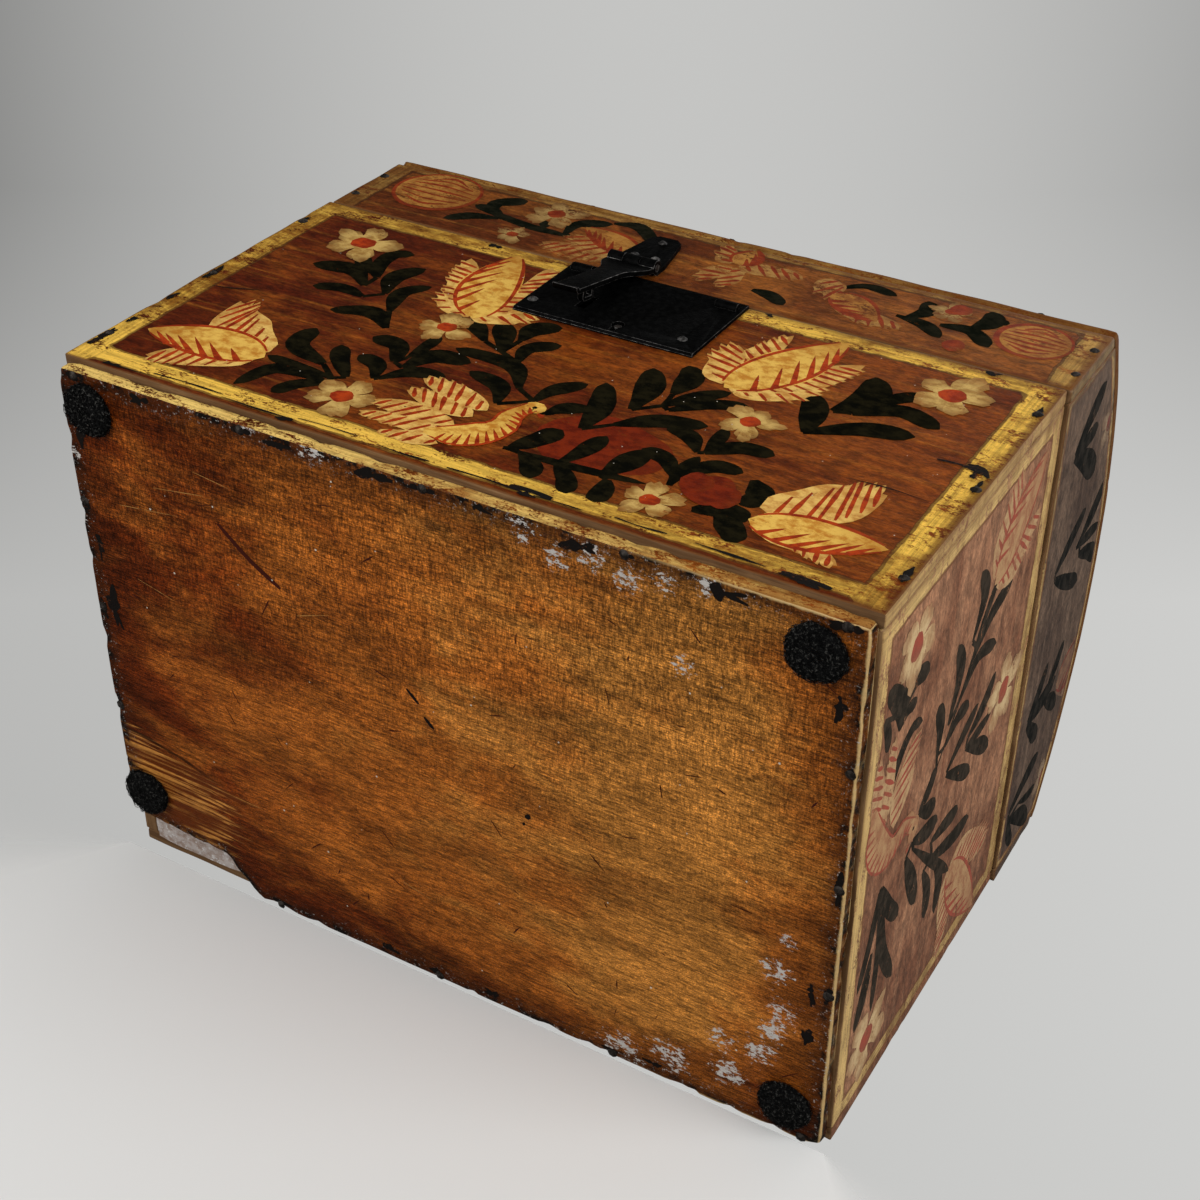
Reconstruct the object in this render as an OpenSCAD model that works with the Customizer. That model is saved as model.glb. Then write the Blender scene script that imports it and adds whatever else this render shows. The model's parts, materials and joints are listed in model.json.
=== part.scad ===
// Small painted wedding chest: a nailed box of thin boards with a low domed lid,
// two forged leaf hinges behind and a hasp lock in front.
// X runs to the right seen from the front, Y to the back, Z up. The floor under the felt pads is Z = 0.

/* [Box] */
// Width over the front board
body_w = 320; // [260:1:380]
// Depth over the front and back boards
body_d = 232; // [190:1:280]
// Height of the walls, from the bottom board to the lid joint
body_h = 158; // [130:1:200]
// Thickness of the wall boards, of the body and of the lid
wall_t = 6; // [5:0.5:9]

/* [Bottom board] */
// Thickness of the bottom board
bottom_t = 6; // [5:0.5:9]
// Set-back of the bottom board behind the front face
bottom_front_set = 2; // [1:0.25:2.5]
// Set-back of the bottom board at the ends and the back
bottom_side_set = 1.5; // [0.5:0.25:2.5]
// Length of the broken back left corner along the back edge
break_l = 66; // [50:1:80]
// Depth of the broken back left corner along the left edge
break_d = 24; // [20:1:30]
// Thickness of the plaster patch inside the broken corner
patch_t = 2; // [1:0.5:4]

/* [Felt pads] */
// Diameter of a felt pad
pad_d = 20; // [14:1:24]
// Thickness of a felt pad
pad_t = 3; // [2:0.5:6]
// Inset of the front left pad's centre from the end and from the front
pad_fl_inset = [14.5, 16]; // [13:0.5:30]
// Inset of the front right pad's centre from the end and from the front
pad_fr_inset = [18, 16]; // [13:0.5:30]
// Inset of the back left pad's centre from the end and from the back
pad_bl_inset = [11.5, 35.5]; // [11:0.5:50]
// Inset of the back right pad's centre from the end and from the back
pad_br_inset = [16, 17]; // [13:0.5:30]

/* [Lid] */
// Height of the lid at the front, from the joint to the front arris
lid_front_h = 52; // [46:1:64]
// Height of the lid at the back, from the joint to the back arris
lid_back_h = 46; // [42:1:60]
// Radius of the domed top
crown_r = 235; // [200:1:300]
// Thickness of the bent top board
top_t = 4; // [3:0.5:5]
// How far the lid has crept to the right over the body
lid_shift = 1.5; // [-2:0.25:2]
// Open joint between the lid and the body
lid_gap = 0.6; // [0.4:0.1:1.5]

/* [Nails] */
// Shank diameter of the forged nails
nail_d = 1.6; // [1.2:0.1:2]
// Head diameter of the forged nails
nail_head_d = 4; // [3:0.25:4.5]
// Height of a nail head
nail_head_h = 0.9; // [0.6:0.1:1.2]
// Length of the nails that join the boards
nail_l = 14; // [11:0.5:18]
// Length of the short nails in the bent top board, the hinges and the hasp
short_nail_l = 7; // [6.5:0.25:7.25]

/* [Hinges] */
// Distance of each hinge from the middle
hinge_x = 95; // [60:1:120]
// Width of a hinge leaf
hinge_w = 22; // [18:1:30]
// Length of a hinge leaf from its pin
hinge_leaf_l = 30; // [24:1:38]
// Thickness of a hinge leaf
leaf_t = 1.4; // [1:0.1:2]
// Outside diameter of the hinge knuckles
hinge_knuckle_d = 5; // [4.5:0.25:6.5]
// Diameter of the hinge pins
hinge_pin_d = 2.4; // [2:0.1:2.8]

/* [Lock] */
// Width of the lock plate
plate_w = 76; // [72:1:90]
// Height of the lock plate
plate_h = 45.5; // [44:0.5:60]
// Thickness of the lock plate
plate_t = 1.5; // [1:0.25:2.5]
// Place of the lock plate's middle, to the right of the chest's middle
plate_x = -2; // [-10:0.5:10]
// Distance of the plate's upper edge below the lid joint
plate_drop = 1; // [0.5:0.25:4]
// Depth of the lock case behind the plate
case_depth = 13; // [11:0.5:18]
// Wall of the lock case
case_wall = 1.2; // [0.8:0.1:1.6]
// Height of the bolt
bolt_h = 4; // [3:0.25:5]
// Thickness of the bolt
bolt_t = 2; // [1.5:0.1:2.5]
// Throw of the bolt
bolt_throw = 9; // [8:0.25:10]
// Diameter of the post that a hollow key turns on
key_post_d = 3; // [2:0.1:3.5]

/* [Hasp] */
// Place of the hasp's middle, to the right of the chest's middle
hasp_x = -18; // [-20:0.5:-16]
// Height of the hasp's pin above the lid joint
hasp_pin_h = 6.5; // [5:0.25:9]
// Width of the hasp over its knuckles
hasp_w = 21; // [18:0.5:24]
// Width of the hasp's lower strap
strap_w = 10.6; // [8:0.2:13]
// Length of the hasp's lower leaf from its pin
strap_l = 50; // [48:0.5:54]
// Length of the hasp's upper leaf from its pin
hasp_leaf_l = 29; // [26:0.5:33]
// Thickness of the hasp's leaves
hasp_t = 2; // [1.5:0.1:2.5]
// Outside diameter of the hasp's knuckles
hasp_knuckle_d = 6; // [5.5:0.25:7]
// Diameter of the hasp's pin
hasp_pin_d = 2.8; // [2.2:0.1:3.2]
// Angle at which the unlatched hasp stands off the lock plate
hasp_lift = 11.5; // [11.5:0.25:15]
// Distance of the staple's middle from the hasp's pin
staple_drop = 36; // [35:0.5:39]
// Thickness of the staple across the bolt
staple_t = 2.4; // [1.8:0.1:3]
// Width of the staple's metal round its eye
staple_rim = 1.6; // [1.2:0.1:2]

/* [Clearances] */
// Radial play of a pin in its knuckle
pin_play = 0.05; // [0.02:0.01:0.09]
// Radial play of a nail in its hole
nail_play = 0.05; // [0.02:0.01:0.1]
// Gap between neighbouring knuckles, and between a knuckle and a board
knuckle_gap = 0.3; // [0.2:0.05:0.5]
// Gap between a curved edge and the bent board on it
seat_gap = 0.1; // [0.05:0.05:0.3]
// Play of the bolt in its guides and in the staple
bolt_play = 0.4; // [0.3:0.05:0.6]
// Play of the lock case in the front board
case_play = 0.3; // [0.1:0.05:0.5]
// Gap between the closed hasp and the lock plate
latch_gap = 0.2; // [0.1:0.05:0.5]
// Play of the staple in the plate's slot
slot_play = 1; // [0.9:0.05:1.3]

/* [Hidden] */
$fn = 48;
crown_fn = 180;
over = 1;

// Levels and faces
half_w = body_w / 2;
front_y = -body_d / 2;
back_y = body_d / 2;
wall_z = pad_t + bottom_t;
joint_z = wall_z + body_h;
lid_z = joint_z + lid_gap;

// Bottom board's outline
bottom_left = -half_w + bottom_side_set;
bottom_right = half_w - bottom_side_set;
bottom_front = front_y + bottom_front_set;
bottom_back = back_y - bottom_side_set;
// Wood of the bottom board and the patch that lap each other round the break
patch_lap = 5;

// Domed top: a circle through the front and back arrises
crown_rise = lid_back_h - lid_front_h;
crown_chord = sqrt(body_d * body_d + crown_rise * crown_rise);
crown_drop = sqrt(crown_r * crown_r - crown_chord * crown_chord / 4);
crown_y = crown_rise / crown_chord * crown_drop;
crown_z = joint_z + (lid_front_h + lid_back_h) / 2 - body_d / crown_chord * crown_drop;
crown_top = crown_z + crown_r;
frame_r = crown_r - top_t - seat_gap;

// Rows of nails
nail_r = nail_d / 2;
edge_x = half_w - wall_t / 2;
edge_y = body_d / 2 - wall_t / 2;
bottom_row_y = body_d / 2 - (wall_t + bottom_front_set) / 2;
bottom_row_x = half_w - (wall_t + bottom_side_set) / 2;
bottom_front_nails = 5;
bottom_back_nails = 4;
bottom_end_nails = 3;
corner_nail_levels = [0.13, 0.5, 0.86];
lid_nail_levels = [0.22, 0.62];
top_end_nails = 4;
top_rail_nails = 5;
// Distance of the first and last nail of a row from the corner
row_margin = 9;

// Hinges
hinge_y = back_y + hinge_knuckle_d / 2 + knuckle_gap;
hinge_z = joint_z + lid_gap / 2;
hinge_places = [-hinge_x, hinge_x];

// Lock
plate_top = joint_z - plate_drop;
plate_bottom = plate_top - plate_h;
plate_left = plate_x - plate_w / 2;
plate_right = plate_x + plate_w / 2;
plate_front = front_y - plate_t;

// Hasp
hasp_z = joint_z + hasp_pin_h;
hasp_y = front_y - hasp_knuckle_d / 2 - knuckle_gap;
strap_back = plate_front - latch_gap;
strap_front = strap_back - hasp_t;

// Staple: its eye takes the bolt just behind the plate
staple_z = hasp_z - staple_drop;
eye_h = bolt_h + 2 * bolt_play;
eye_depth = bolt_t + 2 * bolt_play;
staple_h = eye_h + 2 * staple_rim;
staple_tip = front_y + eye_depth + staple_rim;
slot_w = staple_t + 2 * slot_play;
slot_h = staple_h + 2 * slot_play;

// Lock works, measured from the hasp's middle
bolt_back_off = 2.3;
bolt_tip = hasp_x + staple_t / 2 + bolt_back_off;
bolt_l = 36.5;
bolt_y = front_y + bolt_play;
guide_l = 3;
guide_rim = 1.2;
guide_front_x = bolt_tip + 4.5;
guide_back_x = bolt_tip + bolt_l - bolt_throw - guide_l;
key_x = (guide_front_x + guide_l + guide_back_x) / 2;
key_drop = 10;
key_z = staple_z - key_drop;
keyhole_d = key_post_d + 2;
keyhole_slit_w = 2.4;
keyhole_slit_l = keyhole_d / 2 + 2.6;
case_left = hasp_x - staple_t / 2 - bolt_throw - 2.8;
case_right = bolt_tip + bolt_l + case_wall + 0.8;
case_bottom = key_z - key_post_d / 2 - 2.3 - case_wall;
case_top = staple_z + 11.5;

// Fixings of the lock plate: two hooks bent over its upper edge, two rivets low down
hook_d = 4.4;
hook_l = 9;
hook_margin = [6.5, 5];
hook_shank_d = 2.4;
hook_shank_l = 5.5;
rivet_left_margin = 3.2;
rivet_right_margin = 8.5;
rivet_rise = 9;

// Shapes that repeat

// One forged nail: its head stands on Z = 0 and its shank runs down to -Z
module nail(l) {
    tip = 2;
    lip = nail_head_h * 0.4;
    rotate_extrude($fn = 24)
        polygon([
            [0, -l], [nail_r, -l + tip], [nail_r, 0], [nail_head_d / 2, 0],
            [nail_head_d / 2, lip], [nail_head_d / 6, nail_head_h], [0, nail_head_h]
        ]);
}

module nail_hole(l) {
    translate([0, 0, -l - over])
        cylinder(r = nail_r + nail_play, h = l + 2 * over, $fn = 24);
}

// Places on the outer faces, each with +Z pointing out of the face
module on_front(x, z, y = front_y) { translate([x, y, z]) rotate([90, 0, 0]) children(); }

module on_back(x, z, y = back_y) { translate([x, y, z]) rotate([-90, 0, 0]) children(); }

module on_underside(x, y) { translate([x, y, pad_t]) rotate([180, 0, 0]) children(); }

module on_crown(x, y) {
    translate([x, crown_y, crown_z])
        rotate([asin((crown_y - y) / crown_r), 0, 0])
            translate([0, 0, crown_r]) children();
}

// Even steps from one value to another
function row(first, last, count) = [for (i = [0 : count - 1]) first + (last - first) * i / (count - 1)];

module at_bottom_nails() {
    for (x = row(-half_w + row_margin, half_w - row_margin, bottom_front_nails))
        on_underside(x, -bottom_row_y) children();
    for (x = row(bottom_left + break_l + row_margin, half_w - row_margin, bottom_back_nails))
        on_underside(x, edge_y) children();
    for (side = [-1, 1], y = row(front_y / 2, back_y / 3, bottom_end_nails))
        on_underside(side * bottom_row_x, y) children();
}

module at_corner_nails() {
    for (side = [-1, 1], level = corner_nail_levels) {
        on_front(side * edge_x, wall_z + body_h * level) children();
        on_back(side * edge_x, wall_z + body_h * level) children();
    }
}

module at_lid_corner_nails() {
    for (side = [-1, 1], level = lid_nail_levels) {
        on_front(lid_shift + side * edge_x, lid_z + lid_front_h * level) children();
        on_back(lid_shift + side * edge_x, lid_z + lid_back_h * level) children();
    }
}

module at_lid_top_nails() {
    for (side = [-1, 1], y = row(front_y * 0.8, back_y * 0.8, top_end_nails))
        on_crown(lid_shift + side * edge_x, y) children();
    for (side = [-1, 1], x = row(-edge_x + 3 * row_margin, edge_x - 3 * row_margin, top_rail_nails))
        on_crown(lid_shift + x, side * (body_d / 2 - wall_t / 3)) children();
}

// Two nail places on a hinge leaf, up or down from the pin
hinge_nail_steps = [0.48, 0.82];
module at_hinge_nails(way, y = back_y) {
    for (x = hinge_places, step = hinge_nail_steps)
        on_back(x, hinge_z + way * hinge_leaf_l * step, y) children();
}

// The hasp's nails: two beside each other near its knuckle and one near its upper end
hasp_nail_places = [[-4.6, 9], [4.6, 9], [0, 23.5]];
module at_hasp_nails(y = front_y) {
    for (place = hasp_nail_places)
        on_front(hasp_x + place[0], hasp_z + place[1] * hasp_leaf_l / 29, y) children();
}

module at_lock_hooks(y = front_y) {
    for (x = [plate_left + hook_margin[0], plate_right - hook_margin[0]])
        on_front(x, plate_top - hook_margin[1], y) children();
}

module at_lock_rivets(y = front_y) {
    for (x = [plate_left + rivet_left_margin, plate_right - rivet_right_margin])
        on_front(x, plate_bottom + rivet_rise, y) children();
}

// Body boards

// Break of the back left corner, as steps along the end and along the back edge
break_steps = [
    [0, 1], [0.03, 0.87], [0.12, 0.67], [0.18, 0.64], [0.5, 0.58], [0.76, 0.54], [0.81, 0.34], [0.94, 0.07], [1, 0]
];

module bottom_outline() {
    polygon(concat(
        [[bottom_left, bottom_front], [bottom_right, bottom_front], [bottom_right, bottom_back]],
        [for (i = [len(break_steps) - 1 : -1 : 0])
            [bottom_left + break_l * break_steps[i][0], bottom_back - break_d * break_steps[i][1]]]
    ));
}

module bottom_board() {
    color("sienna") difference() {
        translate([0, 0, pad_t]) linear_extrude(bottom_t) bottom_outline();
        at_bottom_nails() nail_hole(nail_l);
    }
}

module wall_board(y0) {
    translate([-half_w, y0, wall_z]) cube([body_w, wall_t, body_h]);
}

module front_board() {
    color("peru") difference() {
        wall_board(front_y);
        translate([case_left - case_play, front_y - over, case_bottom - case_play])
            cube([
                case_right - case_left + 2 * case_play, wall_t + 2 * over,
                case_top - case_bottom + 2 * case_play
            ]);
        at_bottom_nails() nail_hole(nail_l);
        at_corner_nails() nail_hole(nail_l);
        at_lock_hooks() translate([0, 0, -wall_t - over])
            cylinder(d = hook_shank_d + 2 * nail_play, h = wall_t + 2 * over);
        at_lock_rivets() nail_hole(short_nail_l);
    }
}

module back_board() {
    color("peru") difference() {
        wall_board(back_y - wall_t);
        at_bottom_nails() nail_hole(nail_l);
        at_corner_nails() nail_hole(nail_l);
        at_hinge_nails(-1) nail_hole(short_nail_l);
    }
}

module end_board(x0) {
    color("rosybrown") difference() {
        translate([x0, front_y + wall_t, wall_z]) cube([wall_t, body_d - 2 * wall_t, body_h]);
        at_bottom_nails() nail_hole(nail_l);
        at_corner_nails() nail_hole(nail_l);
    }
}

module left_end_board() { end_board(-half_w); }

module right_end_board() { end_board(half_w - wall_t); }

// Plaster patch laid inside over the broken corner
module corner_patch() {
    x0 = -half_w + wall_t;
    x1 = bottom_left + break_l + patch_lap;
    y0 = bottom_back - break_d - patch_lap;
    color("gainsboro")
        translate([x0, y0, wall_z]) cube([x1 - x0, back_y - wall_t - y0, patch_t]);
}

module felt_pad(side, inset, end_y) {
    color([0.07, 0.07, 0.06])
        translate([side * (half_w - inset[0]), end_y * (body_d / 2 - inset[1]), 0])
            cylinder(d = pad_d, h = pad_t);
}

module felt_pad_front_left() { felt_pad(-1, pad_fl_inset, -1); }

module felt_pad_front_right() { felt_pad(1, pad_fr_inset, -1); }

module felt_pad_back_left() { felt_pad(-1, pad_bl_inset, 1); }

module felt_pad_back_right() { felt_pad(1, pad_br_inset, 1); }

module bottom_nails() { color("dimgray") at_bottom_nails() nail(nail_l); }

module corner_nails() { color("dimgray") at_corner_nails() nail(nail_l); }

// Lid boards

// Everything under the bent top board, seen along X
module under_crown() { translate([crown_y, crown_z]) circle(r = frame_r, $fn = crown_fn); }

// Sets a profile drawn in Y and Z upright, running along X from x0
module along_x(x0, l) {
    translate([x0, 0, 0]) rotate([90, 0, 90]) linear_extrude(l) children();
}

module lid_board(x0, l, y0, y1) {
    along_x(x0, l) intersection() {
        translate([y0, lid_z]) square([y1 - y0, crown_top - lid_z]);
        under_crown();
    }
}

module lid_front_rail() {
    color("peru") difference() {
        lid_board(lid_shift - half_w, body_w, front_y, front_y + wall_t);
        at_lid_corner_nails() nail_hole(nail_l);
        at_lid_top_nails() nail_hole(short_nail_l);
        at_hasp_nails() nail_hole(short_nail_l);
    }
}

module lid_back_rail() {
    color("peru") difference() {
        lid_board(lid_shift - half_w, body_w, back_y - wall_t, back_y);
        at_lid_corner_nails() nail_hole(nail_l);
        at_lid_top_nails() nail_hole(short_nail_l);
        at_hinge_nails(1) nail_hole(short_nail_l);
    }
}

module lid_end(x0) {
    color("rosybrown") difference() {
        lid_board(x0, wall_t, front_y + wall_t, back_y - wall_t);
        at_lid_corner_nails() nail_hole(nail_l);
        at_lid_top_nails() nail_hole(short_nail_l);
    }
}

module lid_left_end() { lid_end(lid_shift - half_w); }

module lid_right_end() { lid_end(lid_shift + half_w - wall_t); }

module lid_top_board() {
    color("saddlebrown") difference() {
        along_x(lid_shift - half_w, body_w) intersection() {
            difference() {
                translate([crown_y, crown_z]) circle(r = crown_r, $fn = crown_fn);
                translate([crown_y, crown_z]) circle(r = crown_r - top_t, $fn = crown_fn);
            }
            translate([front_y, lid_z]) square([body_d, crown_top - lid_z + over]);
        }
        at_lid_top_nails() nail_hole(short_nail_l);
    }
}

module lid_corner_nails() { color("dimgray") at_lid_corner_nails() nail(nail_l); }

module lid_top_nails() { color("dimgray") at_lid_top_nails() nail(short_nail_l); }

// Hinges

// Round bar along X from x0
module bar_x(x0, l, d) { translate([x0, 0, 0]) rotate([0, 90, 0]) cylinder(d = d, h = l); }

// Spans of three knuckles across a width: the two outer ones, or the middle one
function outer_spans(w) = [[-w / 2, w / 3 - knuckle_gap / 2], [w / 6 + knuckle_gap / 2, w / 3 - knuckle_gap / 2]];
function middle_span(w) = [[-w / 6 + knuckle_gap / 2, w / 3 - knuckle_gap]];

module knuckles(spans, d) { for (s = spans) bar_x(s[0], s[1], d); }

// Room for the other leaf's knuckles
module knuckle_room(spans, d) {
    for (s = spans) bar_x(s[0] - knuckle_gap, s[1] + 2 * knuckle_gap, d + 2 * knuckle_gap);
}

// Leaf outline, from the pin outwards, with clipped corners at its free end
module hinge_outline() {
    clip = hinge_w / 5;
    polygon([
        [-hinge_w / 2, 0], [hinge_w / 2, 0], [hinge_w / 2, hinge_leaf_l - clip],
        [hinge_w / 2 - clip, hinge_leaf_l], [-hinge_w / 2 + clip, hinge_leaf_l],
        [-hinge_w / 2, hinge_leaf_l - clip]
    ]);
}

// One leaf lying on the back face: way 1 goes up the lid, way -1 down the body
module hinge_leaf(x, way, own, other) {
    color("black") difference() {
        union() {
            translate([x, back_y + leaf_t, hinge_z]) rotate([90, 0, 0])
                linear_extrude(leaf_t) scale([1, way]) hinge_outline();
            translate([x, hinge_y, hinge_z]) knuckles(own, hinge_knuckle_d);
        }
        translate([x, hinge_y, hinge_z]) {
            knuckle_room(other, hinge_knuckle_d);
            bar_x(-hinge_w, 2 * hinge_w, hinge_pin_d + 2 * pin_play);
        }
        at_hinge_nails(way, back_y + leaf_t) nail_hole(short_nail_l);
    }
}

module hinge_left_body_leaf() { hinge_leaf(-hinge_x, -1, outer_spans(hinge_w), middle_span(hinge_w)); }

module hinge_right_body_leaf() { hinge_leaf(hinge_x, -1, outer_spans(hinge_w), middle_span(hinge_w)); }

module hinge_left_lid_leaf() { hinge_leaf(-hinge_x, 1, middle_span(hinge_w), outer_spans(hinge_w)); }

module hinge_right_lid_leaf() { hinge_leaf(hinge_x, 1, middle_span(hinge_w), outer_spans(hinge_w)); }

module hinge_pin(x) {
    color("dimgray") translate([x, hinge_y, hinge_z]) bar_x(-hinge_w / 2, hinge_w, hinge_pin_d);
}

module hinge_left_pin() { hinge_pin(-hinge_x); }

module hinge_right_pin() { hinge_pin(hinge_x); }

module hinge_body_nails() { color("dimgray") at_hinge_nails(-1, back_y + leaf_t) nail(short_nail_l); }

module hinge_lid_nails() { color("dimgray") at_hinge_nails(1, back_y + leaf_t) nail(short_nail_l); }

// Lock

module lock_plate() {
    bevel = plate_t * 0.6;
    color([0.08, 0.08, 0.08]) difference() {
        // The plate's lower edge is filed to a slope
        along_x(plate_left, plate_w) polygon([
            [front_y, plate_bottom], [front_y - plate_t + bevel, plate_bottom],
            [plate_front, plate_bottom + bevel], [plate_front, plate_top], [front_y, plate_top]
        ]);
        translate([hasp_x - slot_w / 2, plate_front - over, staple_z - slot_h / 2])
            cube([slot_w, plate_t + 2 * over, slot_h]);
        on_front(key_x, key_z) translate([0, 0, -over]) {
            cylinder(d = keyhole_d, h = plate_t + 2 * over);
            translate([-keyhole_slit_w / 2, -keyhole_slit_l, 0])
                cube([keyhole_slit_w, keyhole_slit_l, plate_t + 2 * over]);
        }
        at_lock_hooks() translate([0, 0, -over])
            cylinder(d = hook_shank_d + 2 * nail_play, h = plate_t + 2 * over);
        at_lock_rivets(plate_front) nail_hole(short_nail_l);
    }
}

// Iron spikes bent over flat against the plate
module lock_plate_hooks() {
    color([0.08, 0.08, 0.08]) at_lock_hooks(plate_front) {
        intersection() {
            bar_x(-hook_l / 2, hook_l, hook_d);
            translate([-hook_l / 2, -hook_d / 2, 0]) cube([hook_l, hook_d, hook_d / 2]);
        }
        translate([0, 0, -hook_shank_l]) cylinder(d = hook_shank_d, h = hook_shank_l);
    }
}

module lock_plate_rivets() { color("gray") at_lock_rivets(plate_front) nail(short_nail_l); }

// Open iron tray let into the front board, its mouth closed by the plate
module lock_case() {
    color("dimgray") difference() {
        translate([case_left, front_y, case_bottom])
            cube([case_right - case_left, case_depth, case_top - case_bottom]);
        translate([case_left + case_wall, front_y - over, case_bottom + case_wall])
            cube([
                case_right - case_left - 2 * case_wall, case_depth - case_wall + over,
                case_top - case_bottom - 2 * case_wall
            ]);
    }
}

// Post for a hollow key, riveted to the case's back
module lock_key_post() {
    color("gray") translate([key_x, front_y + case_depth - case_wall, key_z])
        rotate([90, 0, 0]) cylinder(d = key_post_d, h = case_depth - case_wall + plate_t / 2);
}

// Two bridges on the plate's back that the bolt slides in
module lock_bolt_guides() {
    opening_h = bolt_h + 2 * bolt_play;
    opening_t = bolt_t + 2 * bolt_play;
    color("dimgray") for (x = [guide_front_x, guide_back_x])
        along_x(x, guide_l) translate([front_y, staple_z]) difference() {
            translate([0, -opening_h / 2 - guide_rim])
                square([opening_t + guide_rim, opening_h + 2 * guide_rim]);
            translate([-over, -opening_h / 2]) square([opening_t + over, opening_h]);
        }
}

// Bowed leaf spring between the case's roof and the bolt
module lock_spring() {
    spring_t = 0.7;
    spring_w = bolt_t + 2;
    sag = case_top - case_wall - staple_z - bolt_h / 2 - bolt_play;
    half_chord = (guide_back_x - guide_front_x - guide_l) / 2 - 1;
    r = (half_chord * half_chord + sag * sag) / (2 * sag);
    color("gray")
        translate([key_x, front_y + bolt_play, staple_z + bolt_h / 2 + bolt_play])
            rotate([90, 0, 0]) translate([0, 0, -spring_w]) linear_extrude(spring_w)
                intersection() {
                    translate([0, r]) difference() {
                        circle(r = r, $fn = 96);
                        circle(r = r - spring_t, $fn = 96);
                    }
                    translate([-half_chord, 0]) square([2 * half_chord, sag]);
                }
}

// Flat bolt with a notch below for the key's bit, drawn back at rest
module lock_bolt() {
    notch_r = bolt_h * 0.6;
    color("gray") difference() {
        translate([bolt_tip, bolt_y, staple_z - bolt_h / 2]) cube([bolt_l, bolt_t, bolt_h]);
        on_front(key_x + bolt_throw / 2, staple_z - bolt_h * 0.7) translate([0, 0, -bolt_t - bolt_play - over])
            cylinder(r = notch_r, h = bolt_t + bolt_play + 2 * over);
    }
}

// Hasp

hasp_middle = middle_span(hasp_w);
hasp_outer = outer_spans(hasp_w);

module hasp_upper_outline() {
    end_w = hasp_w * 0.64;
    clip = end_w * 0.2;
    polygon([
        [-hasp_w / 2, 0], [hasp_w / 2, 0], [hasp_w / 2, hasp_knuckle_d],
        [end_w / 2, hasp_leaf_l - clip], [end_w / 2 - clip, hasp_leaf_l],
        [-end_w / 2 + clip, hasp_leaf_l], [-end_w / 2, hasp_leaf_l - clip],
        [-hasp_w / 2, hasp_knuckle_d]
    ]);
}

module hasp_upper_leaf() {
    color([0.08, 0.08, 0.08]) difference() {
        union() {
            translate([hasp_x, front_y, hasp_z]) rotate([90, 0, 0]) linear_extrude(hasp_t) hasp_upper_outline();
            translate([hasp_x, hasp_y, hasp_z]) knuckles(hasp_middle, hasp_knuckle_d);
        }
        translate([hasp_x, hasp_y, hasp_z]) {
            knuckle_room(hasp_outer, hasp_knuckle_d);
            bar_x(-hasp_w, 2 * hasp_w, hasp_pin_d + 2 * pin_play);
        }
        at_hasp_nails(front_y - hasp_t) nail_hole(short_nail_l);
    }
}

module hasp_pin() {
    color("dimgray") translate([hasp_x, hasp_y, hasp_z]) bar_x(-hasp_w / 2, hasp_w, hasp_pin_d);
}

module hasp_nails() { color("gray") at_hasp_nails(front_y - hasp_t) nail(short_nail_l); }

// Swings the closed hasp out to where it stands unlatched
module unlatched() {
    translate([0, hasp_y, hasp_z]) rotate([-hasp_lift, 0, 0]) translate([0, -hasp_y, -hasp_z]) children();
}

// Half width of the lower leaf: full at the knuckle, drawn in along an ogee to the strap
shoulder_start = 5;
shoulder_l = 14;
function half_width(drop) =
    let (s = min(1, max(0, (drop - shoulder_start) / shoulder_l)))
        strap_w / 2 + (hasp_w - strap_w) / 2 * (1 + cos(180 * s)) / 2;

module hasp_lower_outline() {
    drops = concat([0], row(shoulder_start, shoulder_start + shoulder_l, 8), [strap_l]);
    polygon(concat(
        [for (d = drops) [half_width(d), -d]],
        [for (i = [len(drops) - 1 : -1 : 0]) [-half_width(drops[i]), -drops[i]]]
    ));
}

// Strap end curled forward into a small lip
module hasp_lip() {
    lip_r = hasp_t * 1.4;
    along_x(hasp_x - strap_w / 2, strap_w) translate([strap_front + hasp_t - lip_r, hasp_z - strap_l])
        intersection() {
            difference() {
                circle(r = lip_r);
                circle(r = lip_r - hasp_t * 0.8);
            }
            translate([0, -lip_r]) square([lip_r, lip_r]);
        }
}

module hasp_lower_leaf() {
    color([0.08, 0.08, 0.08]) unlatched() difference() {
        union() {
            translate([hasp_x, strap_back, hasp_z]) rotate([90, 0, 0]) linear_extrude(hasp_t) hasp_lower_outline();
            translate([hasp_x, hasp_y, hasp_z]) knuckles(hasp_outer, hasp_knuckle_d);
            hasp_lip();
        }
        translate([hasp_x, hasp_y, hasp_z]) {
            knuckle_room(hasp_middle, hasp_knuckle_d);
            bar_x(-hasp_w, 2 * hasp_w, hasp_pin_d + 2 * pin_play);
        }
    }
}

// Eye under the strap that enters the plate's slot and takes the bolt
module hasp_staple() {
    depth = staple_tip - strap_back;
    corner_r = staple_rim;
    color([0.08, 0.08, 0.08]) unlatched()
        along_x(hasp_x - staple_t / 2, staple_t) translate([strap_back, staple_z]) difference() {
            union() {
                translate([0, -staple_h / 2]) square([depth - corner_r, staple_h]);
                translate([0, -staple_h / 2 + corner_r]) square([depth, staple_h - 2 * corner_r]);
                for (side = [-1, 1]) translate([depth - corner_r, side * (staple_h / 2 - corner_r)])
                    circle(r = corner_r, $fn = 32);
            }
            translate([depth - staple_rim - eye_depth, -eye_h / 2]) square([eye_depth, eye_h]);
        }
}

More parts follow.
